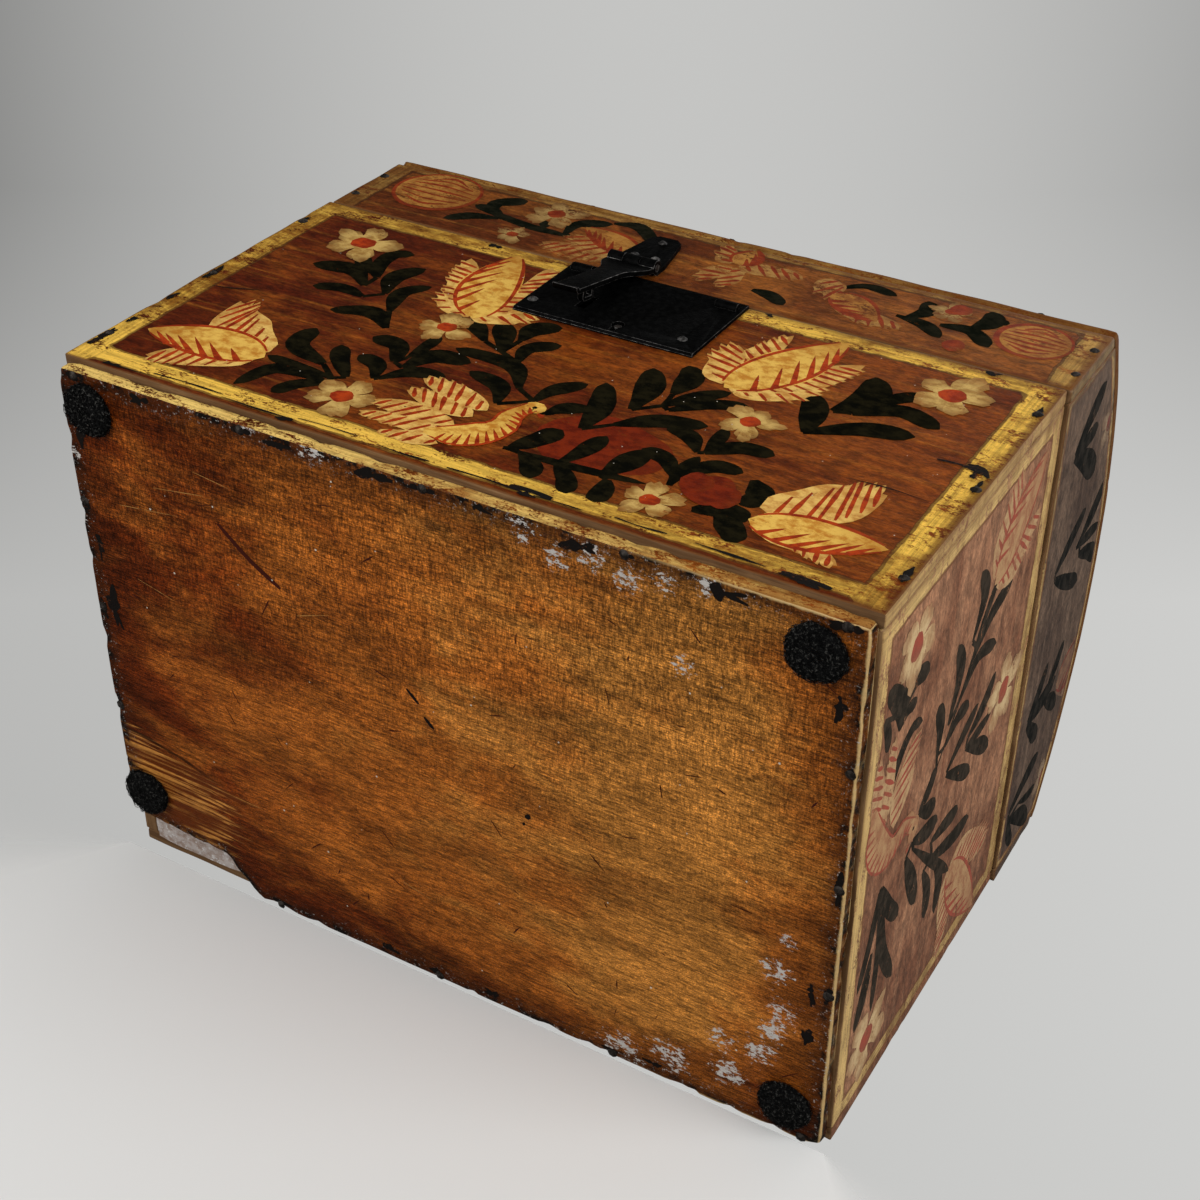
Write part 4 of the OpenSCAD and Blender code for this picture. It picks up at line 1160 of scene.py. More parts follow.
FRONT_FLOWERS = [
    (31, -123, 131), (23, -53, 87), (26.5, -55, 25), (22.5, 75, 81), (30.5, 127, 133), (21.5, 70, 20),
]
FRONT_LOBES = [
    [(18.5, -48, 98, -58, 122, -63, 153), (11.5, -52, 100, -66, 116, -78, 141),
     (12, -46, 101, -42, 126, -46, 150), (10, -50, 98, -40, 104, -30, 111),
     (10, -51, 98, -62, 104, -70, 114)],
    [(18.5, 56, 98, 68, 122, 80, 151), (12, 54, 100, 48, 115, 46, 129), (10, 53, 102, 56, 126, 60, 146),
     (12, 58, 98, 77, 116, 92, 138), (11, 58, 98, 74, 104, 86, 117)],
    [(18.5, -96, 34, -120, 34, -147, 30), (17.5, -97, 38, -118, 48, -132, 65),
     (12.5, -98, 30, -118, 22, -134, 14)],
    [(15.5, 102, 26, 124, 28, 147, 32), (18.5, 102, 34, 117, 44, 134, 61),
     (8.5, 105, 24, 120, 22, 137, 16)],
]
FRONT_BIRD = [
    (15, -17, 20, -4, 24, 4, 34, 3, 45, 6, 52), (8, 4, 50, 7, 52, 10, 49),
    (9, -10, 28, -26, 29, -44, 29), (7, -10, 21, -26, 21, -44, 20), (6, -8, 15, -18, 14, -30, 13),
    (9, -8, 36, -22, 39, -38, 40), (9, -6, 42, -20, 47, -38, 50),
]
print("front:", len(FRONT_LEAVES), "leaves and", len(FRONT_FLOWERS), "flowers")

# %% The plan of the ends
END_LEAVES = [
    (8, -41, 90, -52, 106, -55, 125), (8, -51, 88, -67, 95, -80, 88), (7, -28, 79, -39, 97, -33, 116),
    (8, -25, 73, -44, 79, -59, 73), (7.5, -16, 72, -22, 84, -19, 94), (8, -17, 65, -30, 65, -42, 60),
    (8, 0, 53, -5, 61, -12, 66), (6, -47, 92, -57, 100, -66, 108), (2.6, -10, 66, -30, 82, -56, 99),
    (7, 0, 78, -7, 91, -13, 105), (7, 1, 78, 10, 92, 20, 106), (8.5, -2, 98, -8, 112, -17, 121),
    (6, 2, 97, 3, 110, 3, 122), (7.5, 4, 99, 12, 113, 21, 125), (8, 1, 54, 5, 62, 10, 70),
    (9, 11, 50, 16, 62, 20, 75), (8.5, 27, 71, 29, 85, 32, 98), (9, 37, 74, 44, 94, 47, 113),
    (5, 16, 52, 40, 75, 62, 97), (7.5, 40, 77, 57, 86, 75, 86), (7.5, 38, 66, 52, 73, 68, 75),
    (8.5, 15, 45, 33, 54, 49, 61), (8, 12, 24, 28, 33, 41, 44), (8, 14, 24, 46, 31, 72, 45),
    (5.5, 14, 23, 42, 27, 74, 27), (6.5, 12, 22, 30, 19, 51, 11), (8, 40, 21, 58, 17, 71, 12),
    (8, -62, 23, -70, 35, -66, 46), (6, -57, 23, -61, 30, -59, 37), (10, -57, 24, -69, 21, -81, 10),
    (6, -70, 9, -63, 13, -54, 15), (4.5, -64, 22, -71, 26, -79, 27),
    (6.5, -26, 18, -42, 26, -49, 36, -46, 45),
]
END_FLOWERS = [
    (34, 0, 134), (32, -85, 31), (35, 86, 25),
]
END_LOBES = [
    [(18.5, -65, 104, -82, 125, -98, 146), (12, -63, 106, -65, 127, -74, 147),
     (12.5, -68, 102, -86, 109, -103, 121)],
    [(17, 60, 97, 84, 113, 111, 135), (16, 59, 98, 68, 120, 80, 141), (12, 61, 95, 88, 99, 108, 96)],
]
END_BIRD = [
    (16, -34, 8, -14, 14, -2, 28, -4, 42, 2, 48), (9, -1, 46, 4, 49, 9, 46),
    (9, -18, 17, -36, 19, -56, 21), (8, -18, 10, -36, 10, -56, 9), (13, -12, 28, -28, 33, -44, 41),
]
print("ends:", len(END_LEAVES), "leaves and", len(END_FLOWERS), "flowers")

# %% The plan of the lid's ends
LID_END_LEAVES = [
    (10, -80, 18, -89, 31, -98, 46), (11, -79, 18, -70, 34, -57, 50), (8, -79, 19, -80, 32, -80, 44),
    (8.5, -28, 17, -35, 31, -42, 47), (8, -25, 18, -15, 34, -5, 52), (9.5, -28, 46, -35, 60, -44, 71),
    (6, -26, 42, -24, 57, -21, 72), (8.5, -20, 48, -13, 63, -4, 75), (8, 40, 12, 31, 22, 21, 29),
    (8, 42, 12, 52, 22, 60, 29), (10, 41, 12, 40, 30, 38, 44), (8, 39, 31, 31, 41, 22, 48),
    (8, 42, 31, 50, 43, 58, 51), (9, 84, 6, 77, 22, 73, 37), (9, 88, 7, 98, 24, 110, 36),
    (5, 87, 18, 92, 31, 93, 40), (6, 86, 6, 98, 10, 108, 16),
]
LID_END_FLOWERS = [
    (24, -74, 60), (24, -22, 81), (24, 94, 49),
]
LID_END_LOBES = [
    [(17, 44, 47, 44, 66, 46, 84), (10, 43, 48, 37, 64, 38, 78), (10, 46, 48, 53, 64, 54, 78)],
]
print("lid's ends:", len(LID_END_LEAVES), "leaves and", len(LID_END_FLOWERS), "flowers")

# %% The plan of the lid's front
LID_LEAVES = [
    (8, -97, 25, -100, 33, -90, 41), (6, -90, 22, -99, 26, -107, 27), (5, -55, 20, -76, 20, -98, 24),
    (6, -91, 20, -102, 17, -111, 9), (6.5, -60, 21, -60, 32, -48, 39), (6.5, -48, 40, -37, 42, -24, 31),
    (4, -74, 28, -72, 25, -70, 22), (6.5, 28, 14, 36, 13, 44, 8), (5, 56, 32, 65, 39, 78, 37),
    (7, 88, 22, 93, 31, 90, 39), (6, 84, 22, 96, 20, 105, 13), (7, 101, 23, 113, 24, 123, 15),
    (8, 112, 25, 117, 35, 114, 43), (5, 115, 33, 119, 36, 123, 37),
]
LID_FLOWERS = [
    (24, -73, 36), (15, -78, 10), (16, 101, 35),
]
LID_LOBES = [
    [(12, -26, 18, -42, 26, -56, 31), (11, -26, 15, -42, 16, -58, 22), (11, -26, 13, -44, 9, -64, 10)],
    [(10.5, 12, 31, 14, 39, 14, 46), (9, 14, 30, 22, 31, 40, 34), (8, 12, 28, 8, 20, 8, 12),
     (8, 14, 28, 16, 20, 17, 11), (8, 10, 30, 6, 36, 4, 44)],
    [(12.5, 56, 26, 66, 22, 80, 13), (10.5, 50, 38, 52, 32, 58, 26), (9, 58, 22, 72, 15, 90, 14)],
]
LID_FRUIT = [
    (38, -128, 30), (28, 136, 28),
]
print("lid's front:", len(LID_LEAVES), "leaves and", len(LID_FRUIT), "fruits")

# %% [markdown]
# Each colour is a thin film over the ground. Where it has worn through, the shader shows the same ground as
# the board below, from the same node group at the same place, so the holes look like holes.

# %% Colours of the brush
def brush_colour(name, light, shade, ground, grain, loss, fade):
    """A film of colour. `fade` is how thin it gets where the brush lifts; with none it is dull."""
    finish, tree, coat, spot = new_finish(name, grain, 0.06 if fade else 0.0)
    under = ground_under(tree, spot, ground)
    worn = use_group(tree, worn_paint, {"Place": spot, "Loss": loss})
    hue = mixed(tree, between(tree, cloud(tree, spot, (1.6, 2.4, 2.4), 5, 0.7), 0.36, 0.60), shade, light)
    hue = tinted(tree, hue, worn["Dirt"], 0.5, shade)
    along = marked(tree, "along")
    hue = tinted(tree, hue, between(tree, along, 0.55, 1.0), 0.45, shade)
    thin = times(tree, between(tree, along, 0.45, 1.0), fade)
    cover = times(tree, worn["Mask"], minus(tree, 1.0, thin))
    fill(tree, coat.inputs["Base Color"], mixed(tree, cover, under["Color"], hue))
    fill(tree, coat.inputs["Roughness"], scaled(tree, cloud(tree, spot, (2, 3, 3), 4), 0.3, 0.28))
    relief(tree, coat, under["Height"], 0.00010)
    return finish


# %% A light and a dark tone of each colour, and how much of it is lost
PAINTS = {
    "front": {
        "yellow": (rgb(0.72, 0.44, 0.085), rgb(0.46, 0.18, 0.018), 0.37),
        "straw": (rgb(0.70, 0.44, 0.115), rgb(0.46, 0.20, 0.038), 0.37),
        "cream": (rgb(0.54, 0.35, 0.105), rgb(0.30, 0.155, 0.035), 0.39),
        "red": (rgb(0.40, 0.042, 0.004), rgb(0.20, 0.014, 0.002), 0.35),
        "dark": (rgb(0.003, 0.003, 0.002), rgb(0.011, 0.009, 0.004), 0.33),
        "berry": (rgb(0.17, 0.016, 0.002), rgb(0.09, 0.007, 0.001), 0.38),
    },
    # The lid's colours are the front's made darker, as painted shade on the lid's face, and they are worn
    # more. Its top takes them too.
    "lid": {
        "yellow": (rgb(0.38, 0.17, 0.032), rgb(0.22, 0.072, 0.012), 0.44),
        "straw": (rgb(0.36, 0.19, 0.050), rgb(0.22, 0.085, 0.020), 0.45),
        "cream": (rgb(0.34, 0.21, 0.070), rgb(0.20, 0.105, 0.030), 0.45),
        "red": (rgb(0.25, 0.034, 0.006), rgb(0.14, 0.014, 0.003), 0.41),
        "dark": (rgb(0.004, 0.005, 0.003), rgb(0.013, 0.012, 0.007), 0.35),
    },
    "end": {
        # The ends' colours are paler and greyer than the front's: painted sheen.
        "yellow": (rgb(0.46, 0.27, 0.13), rgb(0.34, 0.15, 0.075), 0.41),
        "straw": (rgb(0.50, 0.32, 0.16), rgb(0.37, 0.19, 0.095), 0.42),
        "cream": (rgb(0.62, 0.44, 0.23), rgb(0.42, 0.25, 0.12), 0.40),
        "red": (rgb(0.36, 0.075, 0.045), rgb(0.27, 0.075, 0.045), 0.44),
        "dark": (rgb(0.022, 0.019, 0.015), rgb(0.050, 0.038, 0.028), 0.38),
    },
    "lid_end": {
        # The lid's ends get darker colours for the shade they stand in: painted shade.
        "yellow": (rgb(0.22, 0.12, 0.070), rgb(0.14, 0.070, 0.045), 0.42),
        "straw": (rgb(0.22, 0.13, 0.080), rgb(0.14, 0.075, 0.050), 0.43),
        "cream": (rgb(0.30, 0.21, 0.13), rgb(0.18, 0.11, 0.070), 0.43),
        "red": (rgb(0.20, 0.045, 0.030), rgb(0.12, 0.030, 0.022), 0.42),
        "dark": (rgb(0.012, 0.012, 0.011), rgb(0.030, 0.026, 0.022), 0.38),
    },
}
print("panels with colours:", ", ".join(PAINTS))

# %% A palette for each panel
FADE = {"yellow": 0.25, "straw": 0.3, "cream": 0.55, "red": 0.3, "dark": 0.0, "berry": 0.2}


def palette(name, ground, grain):
    return {label: brush_colour(f"{label}_on_{name}", light, shade, ground, grain, loss, FADE[label])
            for label, (light, shade, loss) in PAINTS[name].items()}


front_paints = palette("front", FRONT_GROUND, ALONG_X)
shaded_lid_paints = palette("lid", LID_GROUND, ALONG_X)
end_paints_with_sheen = palette("end", END_GROUND_WITH_SHEEN, ALONG_Y)
shaded_lid_end_paints = palette("lid_end", SHADED_LID_END_GROUND, ALONG_Y)
print("colours on the front:", ", ".join(front_paints))

# %% [markdown]
# A panel is a rule that takes a place on the flat sheet, and a height above it, to a place on the chest.
# Only the upper side of a swept stroke is kept, pressed flat, because oil paint levels itself. Each stroke
# lies a hair above the one before it, as it would when painted later.

# %% Lay strokes onto panels
FLAT = 0.1
STEP_UP = 0.0004
ROUND = 8


def sweep(strokes, paint):
    """Runs the brush along a list of strokes on the flat sheet, and gives points, faces and 'along'."""
    curve = bpy.data.curves.new("lines", "CURVE")
    curve.dimensions = "3D"
    for line, radius in strokes:
        run = curve.splines.new("POLY")
        run.points.add(len(line) - 1)
        spots = np.concatenate([line, np.zeros((len(line), 1)), np.ones((len(line), 1))], 1)
        run.points.foreach_set("co", spots.ravel())
        run.points.foreach_set("radius", radius)
    holder = shown("lines", curve)
    mesh = grown("strokes", bpy.data.meshes.new("strokes"), brush, {
        brush_inputs["Lines"]: holder, brush_inputs["Flat"]: FLAT, brush_inputs["Paint"]: paint})
    bpy.data.objects.remove(holder)
    points, along = np.empty(len(mesh.vertices) * 3), np.empty(len(mesh.vertices), np.float32)
    mesh.vertices.foreach_get("co", points)
    mesh.attributes["along"].data.foreach_get("value", along)
    points = points.reshape(-1, 3)
    upper = points[:, 2] > -1e-5
    faces = [list(face.vertices) for face in mesh.polygons if upper[list(face.vertices)].all()]
    order = np.repeat(np.arange(len(strokes)), [len(line) * ROUND for line, _ in strokes])
    return points, faces, order, along


def painted(name, body, strokes, paints, panel, lift=0.02, slot="painted_wood"):
    """One piece with all strokes of a panel, in the order of painting; a stroke is a colour and a line."""
    labels = sorted({label for label, _ in strokes})
    points, faces, kinds, along = [], [], [], []
    for kind, label in enumerate(labels):
        turns = np.array([number for number, (own, _) in enumerate(strokes) if own == label])
        spots, sides, order, way = sweep([strokes[number][1] for number in turns], paints[label])
        spots[:, 2] = lift + turns[order] * STEP_UP
        first = sum(len(p) for p in points)
        points.append(spots)
        faces += [[first + corner for corner in side] for side in sides]
        kinds += [kind] * len(sides)
        along.append(way)
    points = np.concatenate(points)
    placed = np.stack(panel(*points.T), 1)
    origin, *axes = np.stack(panel(*np.array([[0, 1, 0, 0], [20, 20, 21, 20], [0, 0, 0, 1.0]])), 1)
    if np.linalg.det(np.array(axes) - origin) < 0:
        faces = [side[::-1] for side in faces]
    finishes = [paints[label] for label in labels]
    made = piece(name, placed, faces, finishes, kinds, along=np.concatenate(along))
    return seat(made, body, slot)


# %% Put a whole plan together
STEM_REACH = 15.0


def stems(leaves):
    """Short stems from the foot of each leaf to the nearest other foot."""
    feet, made = np.array([row[1:3] for row in leaves], float), []
    for number, foot in enumerate(feet):
        gap = np.linalg.norm(feet - foot, axis=1)
        gap[number] = np.inf
        if 1.0 < gap.min() < STEM_REACH:
            made.append(("dark", stroke((*foot, *feet[gap.argmin()]), 2.2, "band", 5)))
    return made


def whole_plan(leaves, flowers=(), feathers=(), fruits=(), birds=(), wider=1.1):
    strokes = stems(leaves) + [("dark", stroke(row[1:], row[0] * wider, "leaf")) for row in leaves]
    for rows in feathers:
        strokes += feather_leaf(rows, "yellow", "straw")
    for row in flowers:
        strokes += flower(*row, "cream")
    for row in fruits:
        strokes += fruit(*row, "yellow")
    for rows in birds:
        strokes += bird(rows, "yellow", "straw")
    return strokes


# %% Paint the front and the ends
def on_front(u, v, w):
    return u, FRONT_Y - w, WALL_Z + v


front_strokes = [("berry", dot(40, 42, 50, 0.7))]
front_strokes += whole_plan(FRONT_LEAVES, FRONT_FLOWERS, FRONT_LOBES, (), [FRONT_BIRD])
front_strokes += [("berry", dot(83, 35, 18)), ("berry", dot(78, 37, 12)), ("berry", dot(89, 33, 13))]
painted("front_painting", "chest", front_strokes, front_paints, on_front)
end_strokes = whole_plan(END_LEAVES, END_FLOWERS, END_LOBES, (), [END_BIRD], 1.0)
painted("right_end_painting", "chest", end_strokes, end_paints_with_sheen,
        lambda u, v, w: (HALF_W + w, u, WALL_Z + v))
painted("left_end_painting", "chest", end_strokes, end_paints_with_sheen,
        lambda u, v, w: (-HALF_W - w, u, WALL_Z + v))
print("strokes on the front:", len(front_strokes), "and on each end:", len(end_strokes))

# %% Paint the lid's front and ends
lid_strokes = whole_plan(LID_LEAVES, LID_FLOWERS, LID_LOBES, LID_FRUIT)
lid_strokes += [("red", dot(103.5, 38, 8.8)), ("red", dot(111.5, 10, 8.8))]
painted("lid_front_painting", "lid", lid_strokes, shaded_lid_paints,
        lambda u, v, w: (u + LID_SHIFT, FRONT_Y - w, LID_Z + v))


def below_dome(u, v):
    return np.minimum(LID_Z + v, under_crown(u, SEAT_R - 4.5))


lid_end_strokes = whole_plan(LID_END_LEAVES, LID_END_FLOWERS, LID_END_LOBES, wider=1.0)
painted("lid_right_end_painting", "lid", lid_end_strokes, shaded_lid_end_paints,
        lambda u, v, w: (HALF_W + LID_SHIFT + w, u, below_dome(u, v)))
painted("lid_left_end_painting", "lid", lid_end_strokes, shaded_lid_end_paints,
        lambda u, v, w: (-HALF_W + LID_SHIFT - w, u, below_dome(u, v)))
print("strokes on the lid's front:", len(lid_strokes), "and on each end:", len(lid_end_strokes))

# %% [markdown]
# The lid's top isn't seen in the picture. It is painted like the front, mirrored and opened out to the
# wider panel, which is what the same painter would plausibly do.

# %% Paint the lid's top
NARROWER, LONGER = 0.95, 1.42
PLAN_FOOT, TOP_FOOT = 12, 22


def opened(rows):
    """Mirrors the front's plan and spreads it over the arc of the lid."""
    made = []
    for width, *places in rows:
        u, v = np.array(places).reshape(-1, 2).T
        spread = np.column_stack([-NARROWER * u, TOP_FOOT + LONGER * (v - PLAN_FOOT)])
        made.append((width, *spread.ravel()))
    return made


def on_crown(u, v, w):
    turn = FRONT_TURN + v / CROWN_R
    return u + LID_SHIFT, CROWN_Y + (CROWN_R + w) * np.sin(turn), CROWN_Z + (CROWN_R + w) * np.cos(turn)


top_lobes = [opened(rows) for rows in FRONT_LOBES]
crown_strokes = whole_plan(opened(FRONT_LEAVES), opened(FRONT_FLOWERS), top_lobes, (), [opened(FRONT_BIRD)])
painted("lid_top_painting", "lid", crown_strokes, shaded_lid_paints, on_crown)
print("strokes on the lid's top:", len(crown_strokes))

# %% [markdown]
# ## Ironwork
#
# The lock plate, hasp, staple and hinges are forged from sheet and bar. Their CAD solids have the right
# shape but razor edges, so each is copied, its flat faces are joined, and a Bevel modifier breaks every
# edge. The bevel's own faces take a second, paler iron: worn metal with a painted highlight along the
# edges.

# %% Iron finishes
def iron(name, dark, light, matt, metal, shine=0.06):
    finish, tree, coat, spot = new_finish(name, shine=shine)
    mottle = cloud(tree, spot, (4, 4, 4), 6, 0.65)
    fill(tree, coat.inputs["Base Color"], mixed(tree, between(tree, mottle, 0.40, 0.68), dark, light))
    fill(tree, coat.inputs["Roughness"], scaled(tree, cloud(tree, spot, (7, 7, 7), 4), 0.35, matt))
    coat.inputs["Metallic"].default_value = metal
    relief(tree, coat, cloud(tree, spot, (9, 9, 9), 5, 0.6), 0.0003, 0.6)
    return finish


black_iron = iron("black_iron", rgb(0.0010, 0.0010, 0.0010), rgb(0.0035, 0.0035, 0.0034), 0.25, 0.0, 0.015)
# The paler iron is partly worn metal and partly a painted highlight.
worn_highlit_iron = iron("worn_highlit_iron", rgb(0.020, 0.019, 0.018), rgb(0.190, 0.180, 0.170), 0.30, 0.4)
bare_iron = iron("bare_iron", rgb(0.016, 0.013, 0.011), rgb(0.065, 0.055, 0.048), 0.38, 0.5)
print("iron:", black_iron.name, worn_highlit_iron.name, bare_iron.name)


# %% Break the edges of a solid
def forged(node, finish, width):
    """A copy of a solid with broken edges; the new edge faces take the paler iron, worn and with a painted
    highlight.
    """
    shape = bmesh.new()
    shape.from_mesh(frame["nodes"][node].data)
    bmesh.ops.remove_doubles(shape, verts=shape.verts, dist=2e-6)
    bmesh.ops.dissolve_limit(shape, angle_limit=math.radians(0.5), verts=shape.verts, edges=shape.edges)
    mesh = bpy.data.meshes.new(node)
    shape.to_mesh(mesh)
    shape.free()
    mesh.materials.clear()
    mesh.materials.append(finish)
    mesh.materials.append(worn_highlit_iron)
    holder = shown("holder", mesh)
    bevel = holder.modifiers.new("broken edges", "BEVEL")
    bevel.width = width * MM
    bevel.segments = 2
    bevel.limit_method = "ANGLE"
    bevel.angle_limit = math.radians(40)
    bevel.material = 1
    made = bpy.data.meshes.new_from_object(holder.evaluated_get(bpy.context.evaluated_depsgraph_get()))
    bpy.data.objects.remove(holder)
    made.polygons.foreach_set("use_smooth", np.ones(len(made.polygons), bool))
    made.set_sharp_from_angle(angle=math.radians(30))
    return shown(node + "_forged", made)


# %% Forged pieces on each body
BROKEN_EDGE = 0.25
FORGED = {
    "chest": ["lock_plate", "lock_plate_hooks", "lock_case", "lock_key_post", "lock_bolt_guides",
              "lock_spring", "hinge_left_body_leaf", "hinge_right_body_leaf", "hinge_left_pin",
              "hinge_right_pin"],
    "lid": ["hasp_upper_leaf", "hasp_pin", "hinge_left_lid_leaf", "hinge_right_lid_leaf"],
    "hasp": ["hasp_lower_leaf", "hasp_staple"],
    "bolt": ["lock_bolt"],
}
slot_of = {part["node"]: part["material_slot"] for part in frame["record"]["subparts"]}
for body, nodes in FORGED.items():
    for node in nodes:
        slot = slot_of[node]
        finish = black_iron if slot == "black_iron" else bare_iron
        seat(forged(node, finish, BROKEN_EDGE), body, slot, node)
print("forged pieces:", sum(len(nodes) for nodes in FORGED.values()))

# %% [markdown]
# ## Nails
#
# Dozens of nails hold the boards. Only their heads show, and each was struck by hand, so Geometry Nodes
# sets one eight-sided head on every nail's place, turned and sized at random with a fixed seed. The places
# and the directions are read from the CAD solids: a nail's tip is its farthest point from its own middle.
# The nails are found in no fixed order, so which nail gets which turn and size can change between runs.

# %% A node tree that sets nail heads
def random_size(tree, low, high, seed=0):
    """A random number between two others, new at each point."""
    made = step(tree, "FunctionNodeRandomValue", data_type="FLOAT")[1]
    sockets = {socket.identifier: socket for socket in made.node.inputs}
    for name, value in (("Min_001", low), ("Max_001", high), ("Seed", seed)):
        fill(tree, sockets[name], value)
    return made


def spun(tree, rotation, tilt, seed=0):
    """A rotation with a random turn about its own axis and a slight random tilt."""
    turn = step(tree, "FunctionNodeRandomValue", {"Min": (-tilt, -tilt, 0), "Max": (tilt, tilt, 6.28),
                                                  "Seed": seed}, data_type="FLOAT_VECTOR")[0]
    return step(tree, "FunctionNodeRotateRotation", {"Rotation": rotation, "Rotate By": turn},
                rotation_space="LOCAL")[0]


heads, head_inputs, given, result = geometry_tree(
    "nail heads", {"Size": "Float", "Seed": "Int", "Iron": "Material"})
head = step(heads, "GeometryNodeMeshCone", {"Vertices": 8, "Radius Top": 0.00055, "Radius Bottom": 0.00205,
                                            "Depth": 0.00095})[0]
facing = step(heads, "GeometryNodeInputNamedAttribute", {"Name": "facing"}, data_type="FLOAT_VECTOR")[0]
lean = step(heads, "FunctionNodeAlignRotationToVector", {"Vector": facing}, axis="Z")[0]
lean = spun(heads, lean, 0.10, given["Seed"])
low_size = step(heads, "ShaderNodeMath", {0: given["Size"], 1: 0.86}, operation="MULTIPLY")[0]
size = random_size(heads, low_size, given["Size"], given["Seed"])
set_heads = step(heads, "GeometryNodeInstanceOnPoints", {
    "Points": given["Geometry"], "Instance": head, "Rotation": lean, "Scale": size})[0]
set_heads = step(heads, "GeometryNodeRealizeInstances", {"Geometry": set_heads})[0]
set_heads = step(heads, "GeometryNodeSetMaterial", {"Geometry": set_heads, "Material": given["Iron"]})[0]
fill(heads, result[0], set_heads)
print("nail tree:", len(heads.nodes), "nodes")


# %% Find the nails
def islands(mesh):
    """The points of each loose part of a mesh, in no fixed order."""
    shape = bmesh.new()
    shape.from_mesh(mesh)
    bmesh.ops.remove_doubles(shape, verts=shape.verts, dist=2e-6)
    left, found = set(shape.verts), []
    while left:
        stack, part = [left.pop()], []
        while stack:
            vert = stack.pop()
            part.append(np.array(vert.co))
            for edge in vert.link_edges:
                other = edge.other_vert(vert)
                if other in left:
                    left.remove(other)
                    stack.append(other)
        found.append(np.array(part))
    shape.free()
    return found


# %% Set the heads
HEAD_H = 0.0009
HEAD_SIZE = 1.08
WORN_HIGHLIT_HEADS = ("lock_plate_rivets", "hasp_nails")
BODY_OF_NAILS = {
    "bottom_nails": "chest", "corner_nails": "chest", "hinge_body_nails": "chest",
    "lock_plate_rivets": "chest", "lid_corner_nails": "lid", "lid_top_nails": "lid",
    "hinge_lid_nails": "lid", "hasp_nails": "lid",
}
nail_places = {}
for number, (node, body) in enumerate(BODY_OF_NAILS.items()):
    places, ways = [], []
    for part in islands(frame["nodes"][node].data):
        middle = part.mean(0)
        tip = part[np.linalg.norm(part - middle, axis=1).argmax()]
        way = (middle - tip) / np.linalg.norm(middle - tip)
        places.append(tip + way * (((part - tip) @ way).max() - HEAD_H))
        ways.append(way)
    seeds = bpy.data.meshes.new(node)
    seeds.from_pydata(places, [], [])
    attribute = seeds.attributes.new("facing", "FLOAT_VECTOR", "POINT")
    attribute.data.foreach_set("vector", np.array(ways).ravel())
    # The rivets and the hasp's nails get the paler iron: worn, with a painted highlight.
    finish = worn_highlit_iron if node in WORN_HIGHLIT_HEADS else bare_iron
    mesh = grown(node, seeds, heads, {head_inputs["Size"]: HEAD_SIZE, head_inputs["Seed"]: number,
                                      head_inputs["Iron"]: finish})
    seat(shown(node + "_heads", mesh), body, slot_of[node], node)
    nail_places[node] = np.array(places) / MM
print("nail heads:", sum(len(places) for places in nail_places.values()))

# %% [markdown]
# ## Felt pads and plaster
#
# The pads are black felt: a soft crowned disc, and over it a tangle of short curled fibres that Geometry
# Nodes scatters on its faces. The patch of old filler inside the broken corner is a lumpy chalky slab.

# %% Felt
felt, tree, coat, spot = new_finish("felt")
lint = cloud(tree, spot, (22, 22, 22), 4, 0.7)
hue = mixed(tree, between(tree, lint, 0.40, 0.70), rgb(0.003, 0.003, 0.003), rgb(0.020, 0.020, 0.019))
fill(tree, coat.inputs["Base Color"], hue)
coat.inputs["Roughness"].default_value = 0.95
coat.inputs["Specular IOR Level"].default_value = 0.1
relief(tree, coat, lint, 0.0005)
fibre, tree, coat, spot = new_finish("felt_fibre")
grey = cloud(tree, spot, (9, 9, 9), 2)
hue = mixed(tree, between(tree, grey, 0.52, 0.70), rgb(0.004, 0.004, 0.004), rgb(0.075, 0.073, 0.066))
fill(tree, coat.inputs["Base Color"], hue)
coat.inputs["Roughness"].default_value = 0.9
print("felt:", felt.name, fibre.name)

# %% A node tree that sows fibres
fuzz, fuzz_inputs, given, result = geometry_tree(
    "felt fibres", {"Density": "Float", "Seed": "Int", "Fibre": "Material"})
curl = step(fuzz, "GeometryNodeCurveArc", {"Resolution": 8, "Radius": 0.0013, "Sweep Angle": 4.2})[0]
thread = step(fuzz, "GeometryNodeCurvePrimitiveCircle", {"Resolution": 3, "Radius": 0.00009})["Curve"]
curl = step(fuzz, "GeometryNodeCurveToMesh", {"Curve": curl, "Profile Curve": thread})[0]
sown = step(fuzz, "GeometryNodeDistributePointsOnFaces", {
    "Mesh": given["Geometry"], "Density": given["Density"], "Seed": given["Seed"]})
lean = spun(fuzz, sown["Rotation"], 0.35)
size = random_size(fuzz, 0.5, 1.5)
tangle = step(fuzz, "GeometryNodeInstanceOnPoints", {
    "Points": sown["Points"], "Instance": curl, "Rotation": lean, "Scale": size})[0]
tangle = step(fuzz, "GeometryNodeRealizeInstances", {"Geometry": tangle})[0]
tangle = step(fuzz, "GeometryNodeSetMaterial", {"Geometry": tangle, "Material": given["Fibre"]})[0]
both = fuzz.nodes.new("GeometryNodeJoinGeometry")
fuzz.links.new(tangle, both.inputs[0])
fuzz.links.new(given["Geometry"], both.inputs[0])
fill(fuzz, result[0], both.outputs[0])
print("fibre tree:", len(fuzz.nodes), "nodes")


